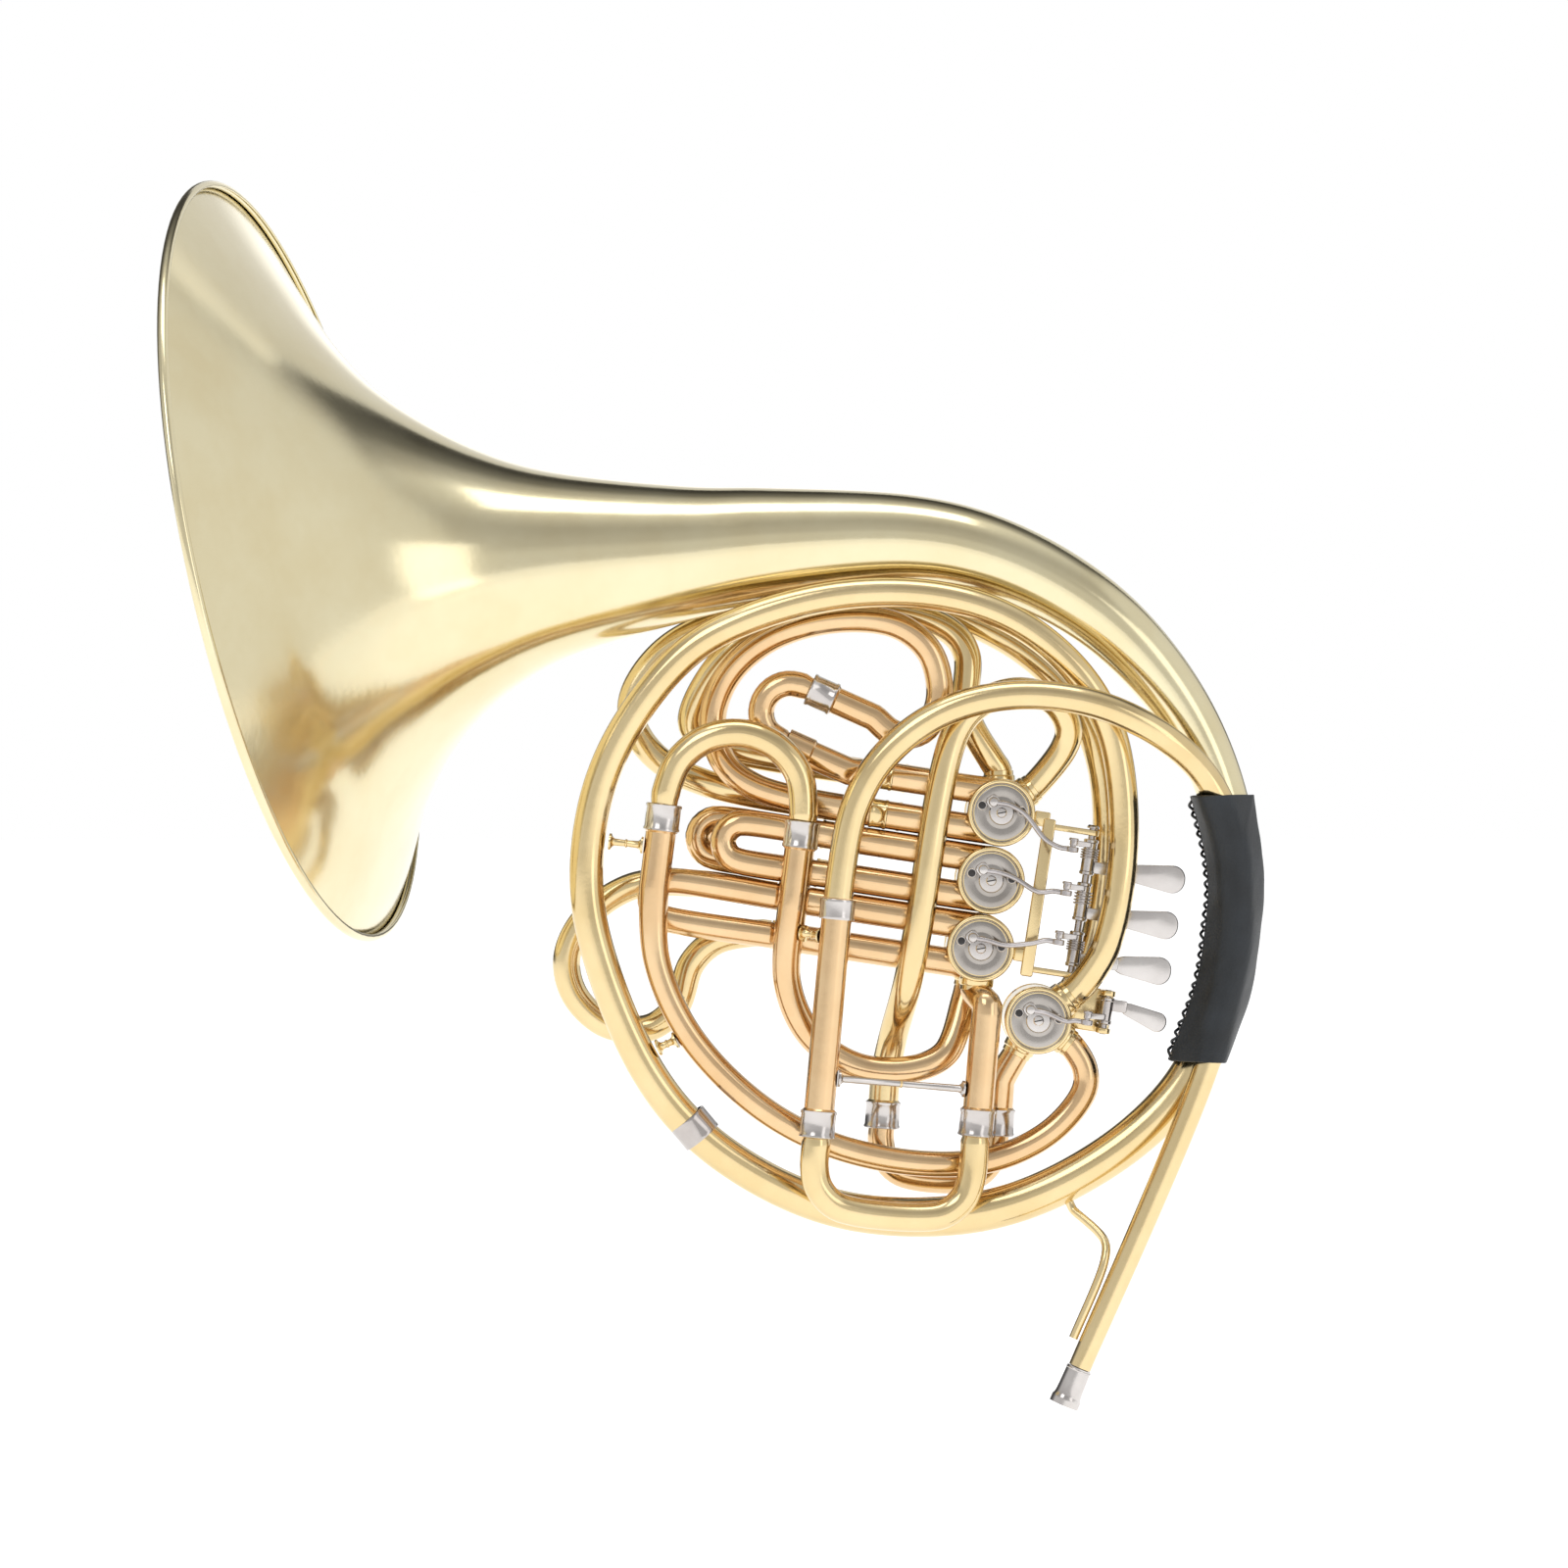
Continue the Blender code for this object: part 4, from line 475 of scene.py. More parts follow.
EDGE_SLOPE = math.radians(62)
CURL = 1.48 * MM


def bell_stations():
    """Centre, radius and facing of the bell's rings, from its mouth to its tail."""
    rings = layers("bell", ((0, 4, 0), 12))
    size = len(rings[0]) // 2
    stations = []
    for k, ring in enumerate(rings):
        ahead = rings[min(k + 1, len(rings) - 1)].mean(0) - rings[max(k - 1, 0)].mean(0)
        reach = np.linalg.norm(ring - ring.mean(0), axis=1)
        outer = ring[np.argsort(-reach)[:size]]
        centre, normal = plane_of(outer, Vector(ahead))
        stations.append((*centre, float(np.linalg.norm(outer - outer.mean(0), axis=1).max()), *normal))
    edge = next(k for k in range(len(stations) - 1)
                if math.dist(stations[k][:4], stations[k + 1][:4]) < 3 * MM)
    return stations[edge::-1]


BELL_FIT = 0.9989       # keeps the rounder bell inside the solid's outline
BELL_NECK = -390 * MM


def draw_bell():
    """The bell, its edge rolled back round a wire."""
    stations = bell_stations()
    mouth = ring_place(Vector(stations[0][:3]), Vector(stations[0][4:7]))
    outward, forward = math.sin(EDGE_SLOPE), math.cos(EDGE_SLOPE)
    rings = []
    for turn in np.linspace(math.radians(230), 0, 15)[:-1]:
        lift = CURL * (-outward * (1 - math.cos(turn)) + forward * math.sin(turn))
        out = CURL * (forward * (1 - math.cos(turn)) + outward * math.sin(turn))
        rings.append((mouth @ Matrix.Translation((0, 0, lift)), (stations[0][3] + out) * BELL_FIT))
    for row in finer(stations, 0.0042):
        rings.append((ring_place(Vector(row[:3]), Vector(row[4:7]).normalized()), float(row[3]) * BELL_FIT))
    shape, loops = lofted(rings, 112)
    for vert in shape.verts:
        share = min(1.0, max(0.0, (BELL_NECK - vert.co.x) / (30 * MM)))
        vert.co.x += 0.1 * MM * share
    tail = loops[-1][0].link_faces[0]
    if tail.normal.dot(tail.calc_center_median() - rings[-1][0].translation) < 0:
        bmesh.ops.reverse_faces(shape, faces=shape.faces)
    mesh = bpy.data.meshes.new("bell_flare")
    shape.to_mesh(mesh)
    shape.free()
    flare = settle("bell_flare", mesh, BELL_BRASS, "horn", ("bell",))
    shell = flare.modifiers.new("Wall", "SOLIDIFY")
    shell.thickness = 0.6 * MM
    shell.offset = -1
    axis = mouth.to_3x3() @ Vector((0, 0, 1))
    turned("bell_rim_wire", bead(stations[0][3] / MM + 1.6 * forward, 1.2), mouth.translation - axis * CURL * outward,
           axis, BELL_BRASS, "horn", ("rim_wire",), steps=144)


draw_bell()


# Plates, bars and turned fittings of the valve section

def flat_bar(name, start, end, width, thick, flat, finish, body, stands_for=(), corner=0.0, soft=0.3, narrow=1.0):
    """A bar between two places, its corners rounded, its edges eased and its start narrowed."""
    start, end = Vector(start), Vector(end)
    length = (end - start).length
    long_axis = (end - start).normalized()
    flat = (flat - long_axis * long_axis.dot(flat)).normalized()
    wide = flat.cross(long_axis)
    shape = bmesh.new()
    bmesh.ops.create_cube(shape, size=1.0)
    bmesh.ops.scale(shape, vec=(length, width * MM, thick * MM), verts=shape.verts)
    if corner:
        upright = [edge for edge in shape.edges if abs((edge.verts[0].co - edge.verts[1].co).normalized().z) > 0.9]
        bmesh.ops.bevel(shape, geom=upright, offset=corner * MM, segments=8, profile=0.5, affect="EDGES")
    rims = [edge for edge in shape.edges if edge.calc_face_angle() > math.radians(40)]
    bmesh.ops.bevel(shape, geom=rims, offset=soft * MM, segments=3, profile=0.5, affect="EDGES")
    for vert in shape.verts:
        share = min(1.0, max(0.0, vert.co.x / length + 0.5))
        vert.co.y *= narrow + (1 - narrow) * share * share * (3 - 2 * share)
    turn = Matrix((long_axis, wide, flat)).transposed().to_4x4()
    bmesh.ops.transform(shape, matrix=Matrix.Translation((start + end) / 2) @ turn, verts=shape.verts)
    return settle_bmesh(name, shape, finish, body, stands_for)


def rod(name, start, end, radius, finish, body, stands_for=(), edge=0.3, steps=32):
    """A round rod between two places, its ends eased."""
    start, end = Vector(start), Vector(end)
    length = (end - start).length / MM
    profile = [(0, 0), (radius - edge, 0), (radius, edge), (radius, length - edge), (radius - edge, length), (0, length)]
    return turned(name, profile, start, end - start, finish, body, stands_for, steps)


def screw_head(name, centre, outward, radius, finish, body):
    """A cheese-head screw on the end of a rod, its slot painted shade: a thin black bar across the head."""
    outward = Vector(outward).normalized()
    centre = Vector(centre)
    turned(name, [(0, 0), (radius, 0), (radius, 0.7), (radius - 0.35, 1.1), (0, 1.25)], centre, outward, finish, body)
    side = outward.orthogonal()
    # The slot is not cut: a thin black bar on the head paints the shade inside it.
    flat_bar(name + "_slot", centre + outward * 1.12 * MM - side * radius * 0.8 * MM,
             centre + outward * 1.12 * MM + side * radius * 0.8 * MM, 0.5, 0.5, outward, RUBBER_AND_SLOT_SHADE, body, soft=0.05)


BACKWARD = Vector((0, 1, 0))
CASING = 13.6
CASING_FRONT, CASING_BACK = -14.0, 30.0
SLEEVE_LENGTHS = {"1": (52.0, 46.0), "2": (62.0, 70.0), "3": (82.0, 84.0)}
SLEEVE_DEPTHS = (2.0, 20.0)
LEG_OFFSET = 7.85


def draw_casing(valve):
    """Valve casing: a turned cup with a rolled front ring round a nickel bearing plate."""
    across, along = VALVES[valve]
    centre = place(across, 0, along)
    node = "valve_casing_" + valve
    shell = [
        (12.3, CASING_BACK), (13.3, CASING_BACK), (CASING, CASING_BACK - 0.3), (CASING, 26.5), (13.35, 26.2),
        (13.35, -9.6), (CASING, -9.9), (CASING, -13.2), (13.2, CASING_FRONT), (2.9, CASING_FRONT + 0.05),
        (2.9, -12.2), (12.3, -12.2),
    ]
    turned("casing_%s_cup" % valve, shell, centre, BACKWARD, BRASS, "horn", (node,), 72)
    turned("casing_%s_ring" % valve, bead(12.55, 0.95), centre + BACKWARD * (CASING_FRONT - 0.1) * MM, BACKWARD,
           BRASS, "horn", (), 72)
    plate = [(3.0, 0.35), (3.0, -0.34), (4.2, -0.34), (5.4, -0.22), (6.1, -0.05), (6.5, 0.02), (6.9, -0.06), (8.4, -0.22),
             (9.8, -0.22), (10.6, -0.1), (10.9, 0.05), (11.2, 0.05), (11.5, -0.25), (12.0, -0.3), (12.0, 0.35)]
    turned("casing_%s_plate" % valve, plate, centre + BACKWARD * CASING_FRONT * MM, BACKWARD, PLATE, "horn", (), 72)
    for side in (-1, 1):
        seat = place(across + side * 8.1, CASING_FRONT, along + 1.8)
        label = "left" if side < 0 else "right"
        turned("bumper_%s_%s_post" % (valve, label), [(0, 0), (2.0, 0), (2.0, 0.9), (1.8, 1.1), (0, 1.1)], seat, FRONT,
               NICKEL, "horn", (), 24)
        turned("bumper_%s_%s_cork" % (valve, label), [(0, 0.9), (1.5, 0.9), (1.5, 1.7), (1.2, 1.95), (0, 2.0)], seat,
               FRONT, RUBBER_AND_SLOT_SHADE, "horn", (), 24)
    if valve not in SLEEVE_LENGTHS:
        return
    for depth, length, pair in zip(SLEEVE_DEPTHS, SLEEVE_LENGTHS[valve], ("front", "rear")):
        for row in (1, -1):
            label = "sleeve_%s_%s_%s" % (valve, pair, "upper" if row > 0 else "lower")
            start = place(across - 4.0, depth, along + row * LEG_OFFSET)
            end = place(across - length, depth, along + row * LEG_OFFSET)
            mesh = pipe([(start, 5.6 * MM), (end, 5.6 * MM)], 0.5 * MM, 40)
            for vert in mesh.vertices:
                offset = vert.co - place(across, 0, along)
                out, high = -offset.dot(ACROSS), offset.dot(ALONG)
                if out < 6 * MM:
                    vert.co -= ACROSS * (math.sqrt(max(0.0, (12.9 * MM) ** 2 - high ** 2)) - out)
            settle(label, mesh, ROSE, "horn", (node,))
            turned(label + "_mouth", band(5.68, 7.0, 0.28, 0.1), end + ACROSS * 3.6 * MM, ACROSS, BRASS, "horn")


def draw_collars():
    """A collar where each tube's end meets a valve casing."""
    for node, line in SPINES.items():
        for (here, radius), (inward, _) in ((line[0], line[1]), (line[-1], line[-2])):
            for valve, (across, along) in VALVES.items():
                offset = here - place(across, 0, along)
                depth = offset.y / MM
                reach = (offset - BACKWARD * offset.y).length / MM
                if reach < 16.0 and -12 < depth < 28:
                    out = (offset - BACKWARD * offset.y).normalized()
                    fit = radius / MM
                    profile = [(fit + 0.05, -1.9), (fit + 1.0, -1.9), (fit + 1.0, 0.7), (fit + 0.75, 1.1),
                               (fit + 0.45, 1.3), (fit + 0.4, 3.0), (fit + 0.05, 3.2)]
                    turned("%s_collar_%s" % (node, valve), profile, here, out, BRASS, "horn", (), 48)


def draw_cap(valve):
    """Screwed cap at the casing's back: knurled edge, stepped face and a centre mark."""
    across, along = VALVES[valve]
    base = CASING_BACK + 0.3
    profile = [(0, base - 2.4), (11.7, base - 2.4), (11.7, base), (13.0, base), (13.1, base + 0.3), (13.1, base + 2.6),
               (12.7, base + 3.0), (11.4, base + 3.3), (10.6, base + 3.45), (10.2, base + 3.1), (6.4, base + 2.9),
               (6.0, base + 3.3), (5.4, base + 3.4), (1.6, base + 3.3), (1.2, base + 2.9), (0, base + 2.85)]
    turned("cap_%s_face" % valve, profile, place(across, 0, along), BACKWARD, BRASS, BODY["valve_cap_" + valve],
           ("valve_cap_" + valve,), 72)
    shape = bmesh.new()
    bmesh.ops.create_cone(shape, cap_ends=True, segments=144, radius1=13.55 * MM, radius2=13.55 * MM, depth=2.0 * MM)
    for vert in shape.verts:
        step = round(math.atan2(vert.co.y, vert.co.x) / (2 * math.pi / 144))
        if step % 2:
            vert.co.xy *= 13.2 / 13.55
    turn = Vector((0, 0, 1)).rotation_difference(BACKWARD).to_matrix().to_4x4()
    centre = place(across, base + 1.45, along)
    bmesh.ops.transform(shape, matrix=Matrix.Translation(centre) @ turn, verts=shape.verts)
    settle_bmesh("cap_%s_knurl" % valve, shape, BRASS, BODY["valve_cap_" + valve])


def draw_rotor(valve):
    """Rotor in its casing, its hub with a lock screw in front, and its stop arm."""
    across, along = VALVES[valve]
    node = "rotor_" + valve
    body = BODY[node]
    centre = place(across, 0, along)
    profile = [(0, 27.5), (11.6, 27.5), (11.9, 27.2), (11.9, -11.4), (11.6, -11.7), (2.6, -11.7), (2.6, -14.3),
               (4.7, -14.3), (5.0, -14.6), (5.0, -15.7), (4.6, -16.2), (3.0, -16.35), (0, -16.35)]
    turned("rotor_%s_body" % valve, profile, centre, BACKWARD, NICKEL, body, (node,), 56)
    turned("rotor_%s_screw" % valve, [(0, 0), (2.1, 0), (2.1, 0.8), (1.7, 1.2), (0, 1.35)],
           place(across, -16.3, along), FRONT, NICKEL, body, (), 32)
    # The lock screw's slot is not cut: a thin black bar on its face paints the shade inside it.
    slot_shade_from = place(across - 1.7, -17.6, along - 0.6)
    flat_bar("rotor_%s_slot" % valve, slot_shade_from, place(across + 1.7, -17.6, along + 0.6), 0.5, 0.3, FRONT, RUBBER_AND_SLOT_SHADE, body,
             soft=0.05)
    turn = math.radians(135)
    flat_bar("rotor_%s_arm" % valve, place(across + 2 * math.cos(turn), -15.3, along + 2 * math.sin(turn)),
             place(across + 7.9 * math.cos(turn), -15.3, along + 7.9 * math.sin(turn)), 4.9, 1.7, FRONT, NICKEL, body,
             corner=1.6, soft=0.25)


for valve in VALVES:
    draw_casing(valve)
    draw_cap(valve)
    draw_rotor(valve)
draw_collars()


# Levers, their rods, brackets and links

ROD_DEPTH = -1.0
CRANK_ACROSS, CRANK_DEPTH = -8.0, -20.5
LEVERS = {
    "1": (38.0, 7.9, 22.4, 20.0, (54.0, 78.0, 11.3, 11.3, 12.0)),
    "2": (38.0, -10.8, 4.8, 2.4, (54.0, 78.0, -7.4, -7.4, 12.0)),
    "3": (38.0, -29.4, -15.1, -17.5, (54.0, 78.0, -26.0, -26.0, 12.0)),
    "thumb": (54.0, -50.5, -39.5, -47.5, (60.0, 79.0, -42.5, -47.5, 8.5)),
}


def coil(name, across, low, high, turns, finish, body):
    """A coil spring round a lever's hub, its ends tucked against the arm and the crank."""
    line = []
    for k in range(turns * 20 + 1):
        angle = 2 * math.pi * k / 20
        along = low + (high - low) * k / (turns * 20)
        line.append((place(across + 3.35 * math.cos(angle), ROD_DEPTH + 3.35 * math.sin(angle), along), 0.36 * MM))
    settle(name, pipe(line, None, 10), finish, body)


def draw_lever(name):
    """A lever: hub on its rod, crank forward to the link, arm and rounded touch piece."""
    across, low, high, crank, (start, end, along_start, along_end, width) = LEVERS[name]
    node = "lever_" + name
    body = BODY[node]
    long = high - low
    hub = [(1.8, 0), (2.7, 0), (3.05, 0.35), (3.05, 1.3), (2.75, 1.6), (2.75, long - 1.6), (3.05, long - 1.3),
           (3.05, long - 0.35), (2.7, long), (1.8, long)]
    turned(node + "_hub", hub, place(across, ROD_DEPTH, low), ALONG, NICKEL, body, (node,), 40)
    reach = math.hypot(CRANK_ACROSS, CRANK_DEPTH)
    tip = (across + CRANK_ACROSS, ROD_DEPTH + CRANK_DEPTH)
    way = (CRANK_ACROSS / reach, CRANK_DEPTH / reach)
    flat_bar(node + "_crank", place(across + way[0] * 2.2, ROD_DEPTH + way[1] * 2.2, crank),
             place(tip[0] + way[0], tip[1] + way[1], crank), 3.1, 2.3, ALONG, NICKEL, body, corner=1.3, soft=0.3)
    pin = [(0, 0), (1.6, 0), (1.9, 0.3), (1.9, 1.0), (1.1, 1.1), (1.1, 5.6), (0.9, 5.8), (0, 5.8)]
    turned(node + "_pin", pin, place(*tip, crank + 1.9), -ALONG, STEEL, body, (), 28)
    arm_from = place(across + 1.8, 1.0, along_start)
    flat_bar(node + "_arm", arm_from, place(start + 2.4, 2.2, along_start), 4.8, 1.7, BACKWARD, NICKEL, body,
             corner=0.8, soft=0.35)
    flat_bar(node + "_touch", place(start, 2.4, along_start), place(end, 2.4, along_end), width - 0.1, 1.8, BACKWARD,
             NICKEL, body, corner=width * 0.47, soft=0.55, narrow=0.62)
    spring_low, spring_high = sorted((along_start + (2.9 if crank > along_start else -2.9),
                                      crank + (-1.6 if crank > along_start else 1.6)))
    if spring_high - spring_low > 1.0:
        coil(node + "_spring", across, spring_low, spring_high, 4, STEEL, body)


LINK_BENDS = {
    "1": [(0.285, 0.333, 0.157), (0.598, 0.692, 0.799), (0.802, 0.897, 0.991)],
    "2": [(0.285, 0.333, -0.291), (0.598, 0.692, 0.679), (0.802, 0.897, 0.995)],
    "3": [(0.285, 0.333, 0.661), (0.598, 0.692, 1.265), (0.802, 0.897, 1.035)],
    "thumb": [(0.294, 0.282, -0.563), (0.680, 0.795, 0.844)],
}


def draw_link(name):
    """An S-shaped link: an eye on the crank's pin, a bent rod and a ball joint's cup."""
    across, low, high, crank, touch = LEVERS[name]
    node = "link_" + name
    body = BODY[node]
    tip = (across + CRANK_ACROSS, ROD_DEPTH + CRANK_DEPTH)
    eye = crank - 1.2 - 0.3 - 1.2
    centre, height = VALVES[name]
    turn = math.radians(135)
    leave = (tip[0] - 1.9, tip[1], eye)
    goal = (centre + 5.4 * math.cos(turn), -17.6, height + 5.4 * math.sin(turn))
    knots = [leave, (leave[0] - 3.0, leave[1], leave[2])]
    knots += [tuple(a + (b - a) * share for a, b, share in zip(leave, goal, shares)) for shares in LINK_BENDS[name]]
    knots += [(goal[0] + 3.0, goal[1], goal[2]), goal]
    rows = finer([(*place(*knot), 1.05 * MM) for knot in knots], 0.0006)
    settle(node + "_stem", pipe([(Vector(row[:3]), float(row[3])) for row in rows], None, 18), STEEL, body, (node,))
    ring = [(1.4, -1.1), (2.2, -1.1), (2.5, -0.8), (2.5, 0.8), (2.2, 1.1), (1.4, 1.1)]
    turned(node + "_eye", ring, place(*tip, eye), ALONG, STEEL, body, (), 32)
    cup = [(0, 0), (1.7, 0), (2.0, 0.3), (2.0, 1.4), (1.6, 2.0), (0.8, 2.2), (0, 2.2)]
    turned(node + "_cup", cup, place(goal[0], -16.6, goal[2]), FRONT, NICKEL, body, (), 32)


for name in LEVERS:
    draw_lever(name)
    draw_link(name)
rod("lever_rod_bar", place(38.0, ROD_DEPTH, -35.0), place(38.0, ROD_DEPTH, 27.0), 1.5, STEEL, "horn", ("lever_rod",))
rod("thumb_rod_bar", place(54.0, ROD_DEPTH, -54.5), place(54.0, ROD_DEPTH, -36.5), 1.5, STEEL, "horn", ("thumb_rod",))
screw_head("lever_rod_screw_upper", place(38.0, ROD_DEPTH, 26.8), ALONG, 2.5, NICKEL, "horn")
screw_head("lever_rod_screw_lower", place(38.0, ROD_DEPTH, -34.8), -ALONG, 2.5, NICKEL, "horn")


def draw_brackets():
    """The lever bracket beside the valves and the thumb lever's plate, both with eased edges."""
    flat_bar("lever_bracket_bar", place(20.0, -4.0, -36.0), place(20.0, -4.0, 28.0), 5.0, 5.0, BACKWARD, BRASS, "horn",
             ("lever_bracket",), corner=1.0, soft=0.5)
    for label, along in (("upper", 25.0), ("lower", -33.0)):
        flat_bar("lever_bracket_ear_" + label, place(19.0, ROD_DEPTH + 0.6, along), place(40.6, ROD_DEPTH + 0.6, along),
                 4.6, 2.4, ALONG, BRASS, "horn", corner=2.0, soft=0.4)
    for label, along in (("upper", 27.5), ("lower", -27.5)):
        flat_bar("lever_bracket_foot_" + label, place(13.7, -4.0, along), place(20.0, -4.0, along), 6.0, 4.0, BACKWARD,
                 BRASS, "horn", corner=0.8, soft=0.5)
    flat_bar("thumb_bracket_plate", place(27.2 + 13.9, 11.0, -45.6), place(57.0, 11.0, -45.6), 17.6, 2.4, BACKWARD,
             BRASS, "horn", ("thumb_bracket",), corner=2.4, soft=0.5)
    for label, along in (("upper", -37.9), ("lower", -53.1)):
        flat_bar("thumb_bracket_ear_" + label, place(54.0, 11.5, along), place(54.0, -4.0, along), 5.9, 2.2, ALONG,
                 BRASS, "horn", corner=2.4, soft=0.4)


draw_brackets()


# Braces between the tubes

def draw_brace(node):
    """A turned brace: a waisted rod with a stepped flange at each end."""
    copy = merged(node)
    centres = np.array([tuple(vert.co) for vert in copy.verts])
    copy.free()
    middle = Vector(centres.mean(0))
    axis = Vector(np.linalg.svd(centres - centres.mean(0))[2][0])
    heights = (centres - centres.mean(0)) @ np.array(axis)
    low, high = heights.min() / MM, heights.max() / MM
    profile = [(0, low), (3.35, low), (3.4, low + 0.3), (3.4, low + 0.8), (2.5, low + 1.1), (1.9, low + 1.6),
               (1.5, low + 2.2), (1.3, (low + high) / 2), (1.5, high - 2.2), (1.9, high - 1.6), (2.5, high - 1.1),
               (3.4, high - 0.8), (3.4, high - 0.3), (3.35, high), (0, high)]
    turned(node + "_rod", profile, middle, axis, NICKEL if "slide" in node else BRASS, "horn", (node,), 36)
    waist = (low + high) / 2
    turned(node + "_knop", bead(1.2, 0.55), middle + axis * waist * MM, axis, BRASS, "horn", (), 28)


for node in NODES:
    if node.startswith("brace_"):
        draw_brace(node)


# Hand guard: the CAD's leather rounded, with eyelets and a lace along its seam

def draw_guard():
    shape = merged("hand_guard")
    creases = shape.edges.layers.float.new("crease_edge")
    for edge in shape.edges:
        if len(edge.link_faces) == 2 and edge.calc_face_angle() > math.radians(60):
            edge[creases] = 0.55
    mesh = bpy.data.meshes.new("guard_leather")
    shape.to_mesh(mesh)
    shape.free()
    guard = settle("guard_leather", mesh, LEATHER, "horn", ("hand_guard",))
    fine = guard.modifiers.new("Fine", "SUBSURF")
    fine.levels = 3
    fine.render_levels = 3


def seam_line():
    """The guard's seam from top to bottom: its leftmost edge at each of the CAD's rows."""
    shape = merged("hand_guard")
    points = np.array([tuple(vert.co) for vert in shape.verts])
    shape.free()
    rows = []
    for height in np.linspace(0.033, -0.074, 9):
        near = points[np.abs(points[:, 2] - height) < 0.004]
        edge = near[near[:, 0] < near[:, 0].min() + 0.0012]
        rows.append((edge[:, 0].min(), edge[:, 1].mean(), height, 0.0))
    return [Vector(row[:3]) for row in finer(rows, 0.0005)]


def draw_lace():
    """A black lace that crosses the seam from eyelet to eyelet."""
    seam = seam_line()
    crossings = 27
    picks = np.linspace(5, len(seam) - 6, crossings).astype(int)
    knots = []
    for number, pick in enumerate(picks):
        side = 1 if number % 2 else -1
        spot = seam[pick]
        run = (seam[pick + 5] - seam[pick - 5]).normalized()
        hole = spot + Vector((0.0005, side * 0.0036, 0))
        turned("guard_eyelet_%02d" % number, bead(1.05, 0.4), hole, Vector((-1, side * 0.35, 0)), STEEL, "horn", (), 20)
        knots.append((*(hole + Vector((-0.0004, 0, 0))), 0.0006))
        if number < crossings - 1:
            ahead = seam[(pick + picks[number + 1]) // 2]
            knots.append((*(ahead + Vector((-0.0013, 0, 0))), 0.0006))
    rows = finer(knots, 0.0008)
    settle("guard_lace", pipe([(Vector(row[:3]), float(row[3])) for row in rows], None, 12), LEATHER, "horn")


draw_guard()
draw_lace()


# Floor, lights and camera

def stage_plane(name, size, where, colour, glow):
    """A pale floor, lit evenly so that it meets the background without an edge."""
    shape = bmesh.new()
    bmesh.ops.create_grid(shape, x_segments=1, y_segments=1, size=size)
    mesh = bpy.data.meshes.new(name)
    shape.to_mesh(mesh)
    shape.free()
    plane = bpy.data.objects.new(name, mesh)
    plane.location = where
    paint = bpy.data.materials.new(name + "_paint")
    paint.use_nodes = True
    shader = paint.node_tree.nodes["Principled BSDF"]
    shader.inputs["Base Color"].default_value = (*colour, 1)
    shader.inputs["Roughness"].default_value = 0.9
    shader.inputs["Specular IOR Level"].default_value = 0.0
    shader.inputs["Emission Color"].default_value = (1, 1, 1, 1)
    shader.inputs["Emission Strength"].default_value = glow
    mesh.materials.append(paint)
    bpy.context.scene.collection.objects.link(plane)


def soft_light(name, where, towards, size, power, colour=(1, 1, 1)):
    lamp = bpy.data.lights.new(name, "AREA")
    lamp.shape = "RECTANGLE"
    lamp.size, lamp.size_y = size
    lamp.energy = power
    lamp.color = colour
    holder = bpy.data.objects.new(name, lamp)
    holder.location = where
    holder.rotation_euler = (Vector(towards) - Vector(where)).to_track_quat("-Z", "Y").to_euler()
    bpy.context.scene.collection.objects.link(holder)


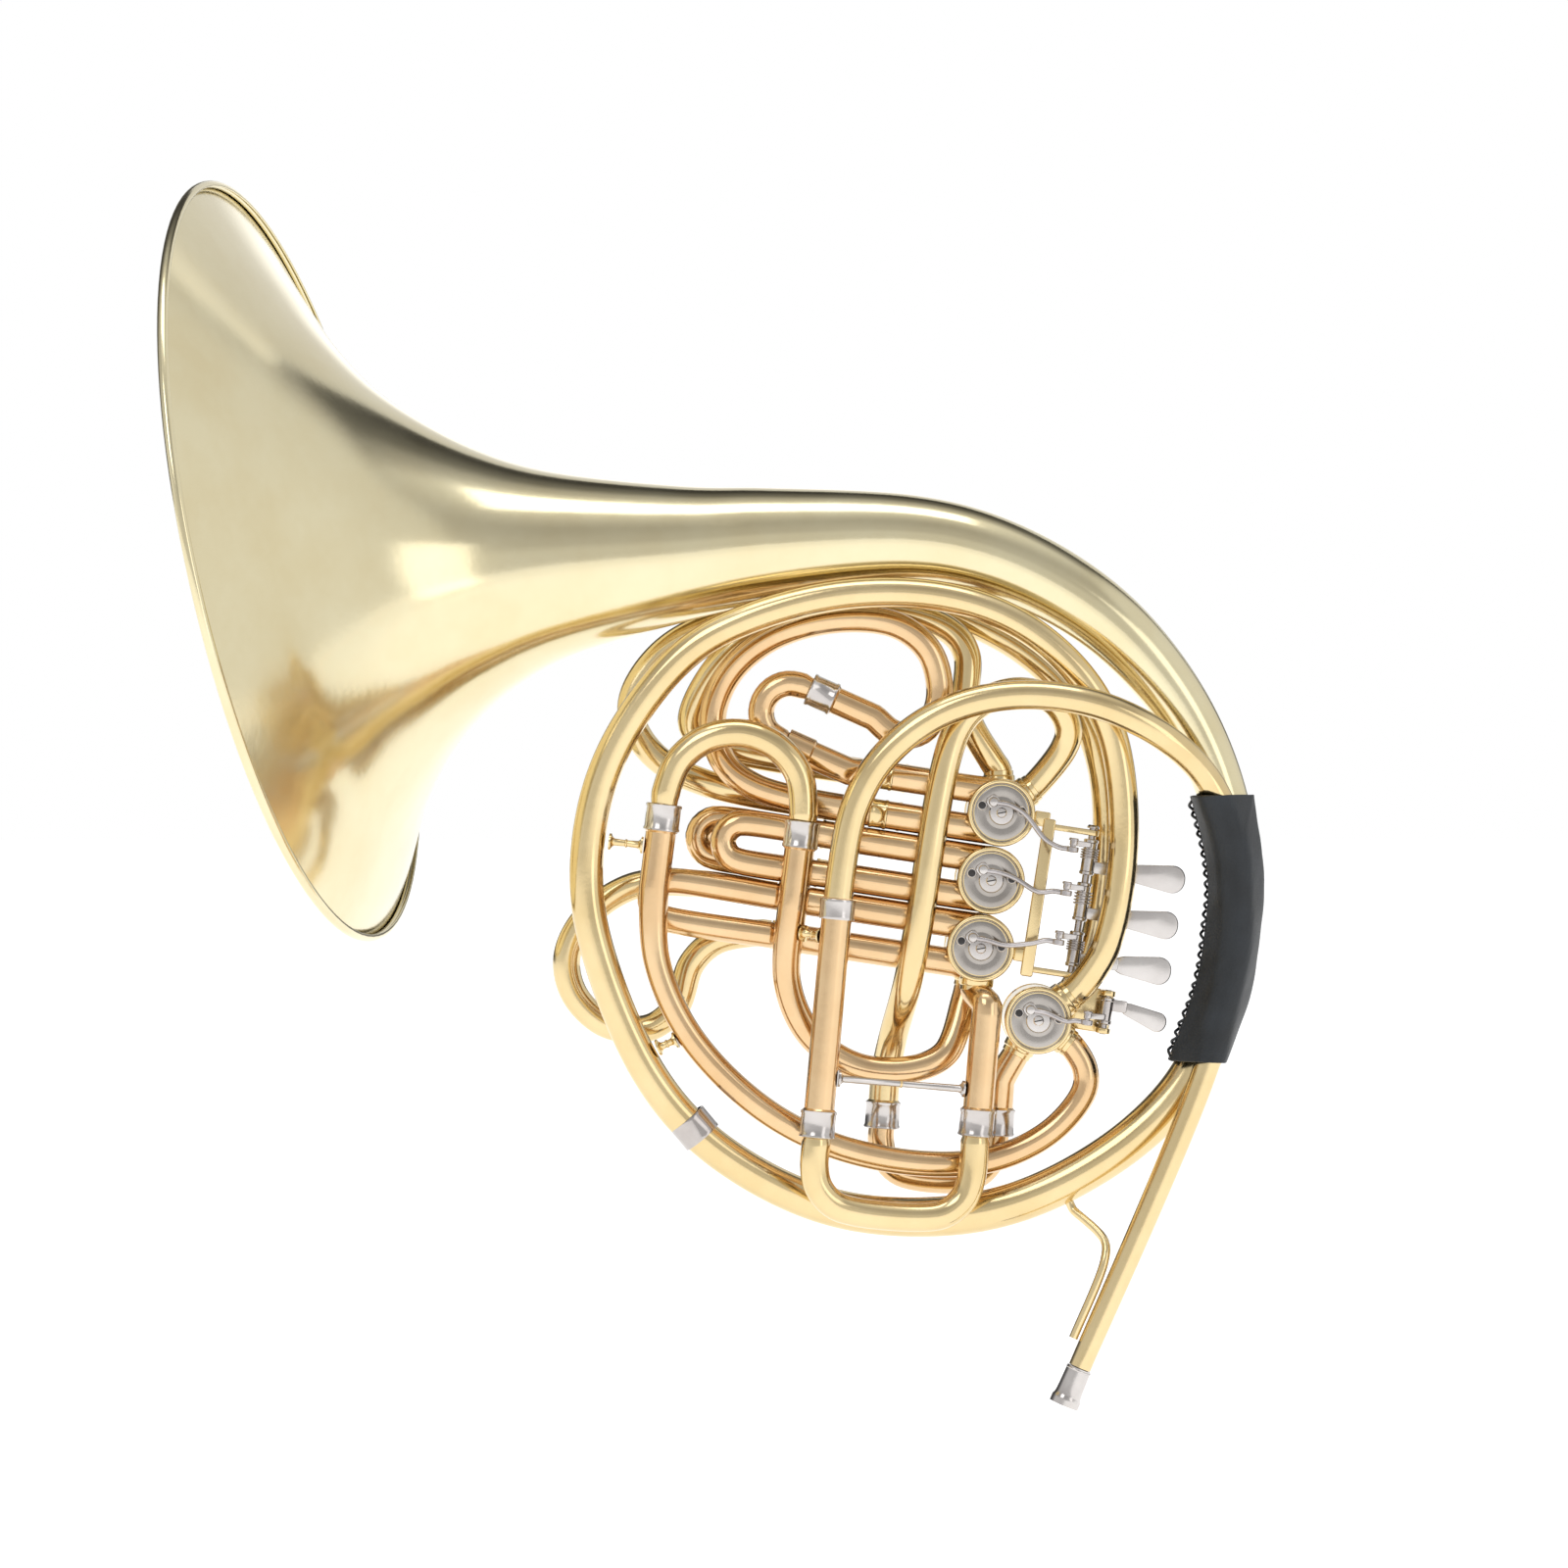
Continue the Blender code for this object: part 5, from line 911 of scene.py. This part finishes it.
def studio():
    """Even light from the viewer's side, a white backdrop behind and dim air between them."""
    world = bpy.data.worlds.new("studio")
    bpy.context.scene.world = world
    world.use_nodes = True
    tree = world.node_tree
    sky = tree.nodes["Background"]
    sky.inputs["Strength"].default_value = 1.0
    where = tree.nodes.new("ShaderNodeTexCoord")
    split = tree.nodes.new("ShaderNodeSeparateXYZ")
    both = tree.nodes.new("ShaderNodeMix")
    both.data_type = "RGBA"
    both.blend_type = "MULTIPLY"
    both.inputs["Factor"].default_value = 1.0
    tree.links.new(where.outputs["Generated"], split.inputs["Vector"])
    parts = []
    for axis in ("Y", "Z", "X"):
        share = tree.nodes.new("ShaderNodeMapRange")
        share.inputs["From Min"].default_value = -1.0
        tone = tree.nodes.new("ShaderNodeValToRGB")
        tree.links.new(split.outputs[axis], share.inputs["Value"])
        tree.links.new(share.outputs["Result"], tone.inputs["Fac"])
        parts.append(tone)
    ramp(parts[0], [(0.0, 0.7), (0.3, 0.85), (0.5, 0.9), (0.62, 0.5), (0.72, 0.2), (0.84, 0.08), (0.95, 0.14),
                    (0.986, 0.7), (0.992, 1.0)])
    ramp(parts[1], [(0.0, 0.35), (0.2, 0.5), (0.38, 1.0), (0.62, 1.0), (0.72, 0.75), (0.85, 0.6), (1.0, 1.0)])
    tree.links.new(parts[0].outputs["Color"], both.inputs[6])
    tree.links.new(parts[1].outputs["Color"], both.inputs[7])
    ramp(parts[2], [(0.74, 0.0), (0.84, 0.8), (1.0, 0.9)])
    lifted = tree.nodes.new("ShaderNodeMix")
    lifted.data_type = "RGBA"
    lifted.blend_type = "LIGHTEN"
    lifted.inputs["Factor"].default_value = 1.0
    tree.links.new(both.outputs[2], lifted.inputs[6])
    tree.links.new(parts[2].outputs["Color"], lifted.inputs[7])
    tree.links.new(lifted.outputs[2], sky.inputs["Color"])


def ramp(node, stops):
    band_of = node.color_ramp
    band_of.interpolation = "EASE"
    while len(band_of.elements) < len(stops):
        band_of.elements.new(0.5)
    for element, (position, value) in zip(band_of.elements, stops):
        element.position = position
        element.color = (value, value, value, 1)


low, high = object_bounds()
stage_plane("floor", 30.0, (-0.18, 0.5, low.z - 0.05), (0.8, 0.8, 0.8), 0.75)
studio()
soft_light("key", (-1.0, -1.6, 1.5), (-0.2, 0, 0.03), (1.0, 1.0), 6)
soft_light("fill", (1.3, -1.5, 0.5), (-0.15, 0, 0.0), (0.7, 1.3), 2.5)
soft_light("top", (-0.2, -0.3, 1.7), (-0.2, 0, 0), (1.2, 0.6), 4)
soft_light("back", (0.3, 1.7, 1.0), (-0.2, 0, 0), (1.4, 1.0), 3)
eye = bpy.data.cameras.new("camera")
eye.lens = 142.4
eye.sensor_width = 36.0
camera = bpy.data.objects.new("camera", eye)
camera.location = (-0.1833, -2.5, 0.0375)
camera.rotation_euler = (math.pi / 2, 0, 0)
bpy.context.scene.collection.objects.link(camera)
bpy.context.scene.camera = camera
bpy.context.scene.view_settings.view_transform = "Standard"
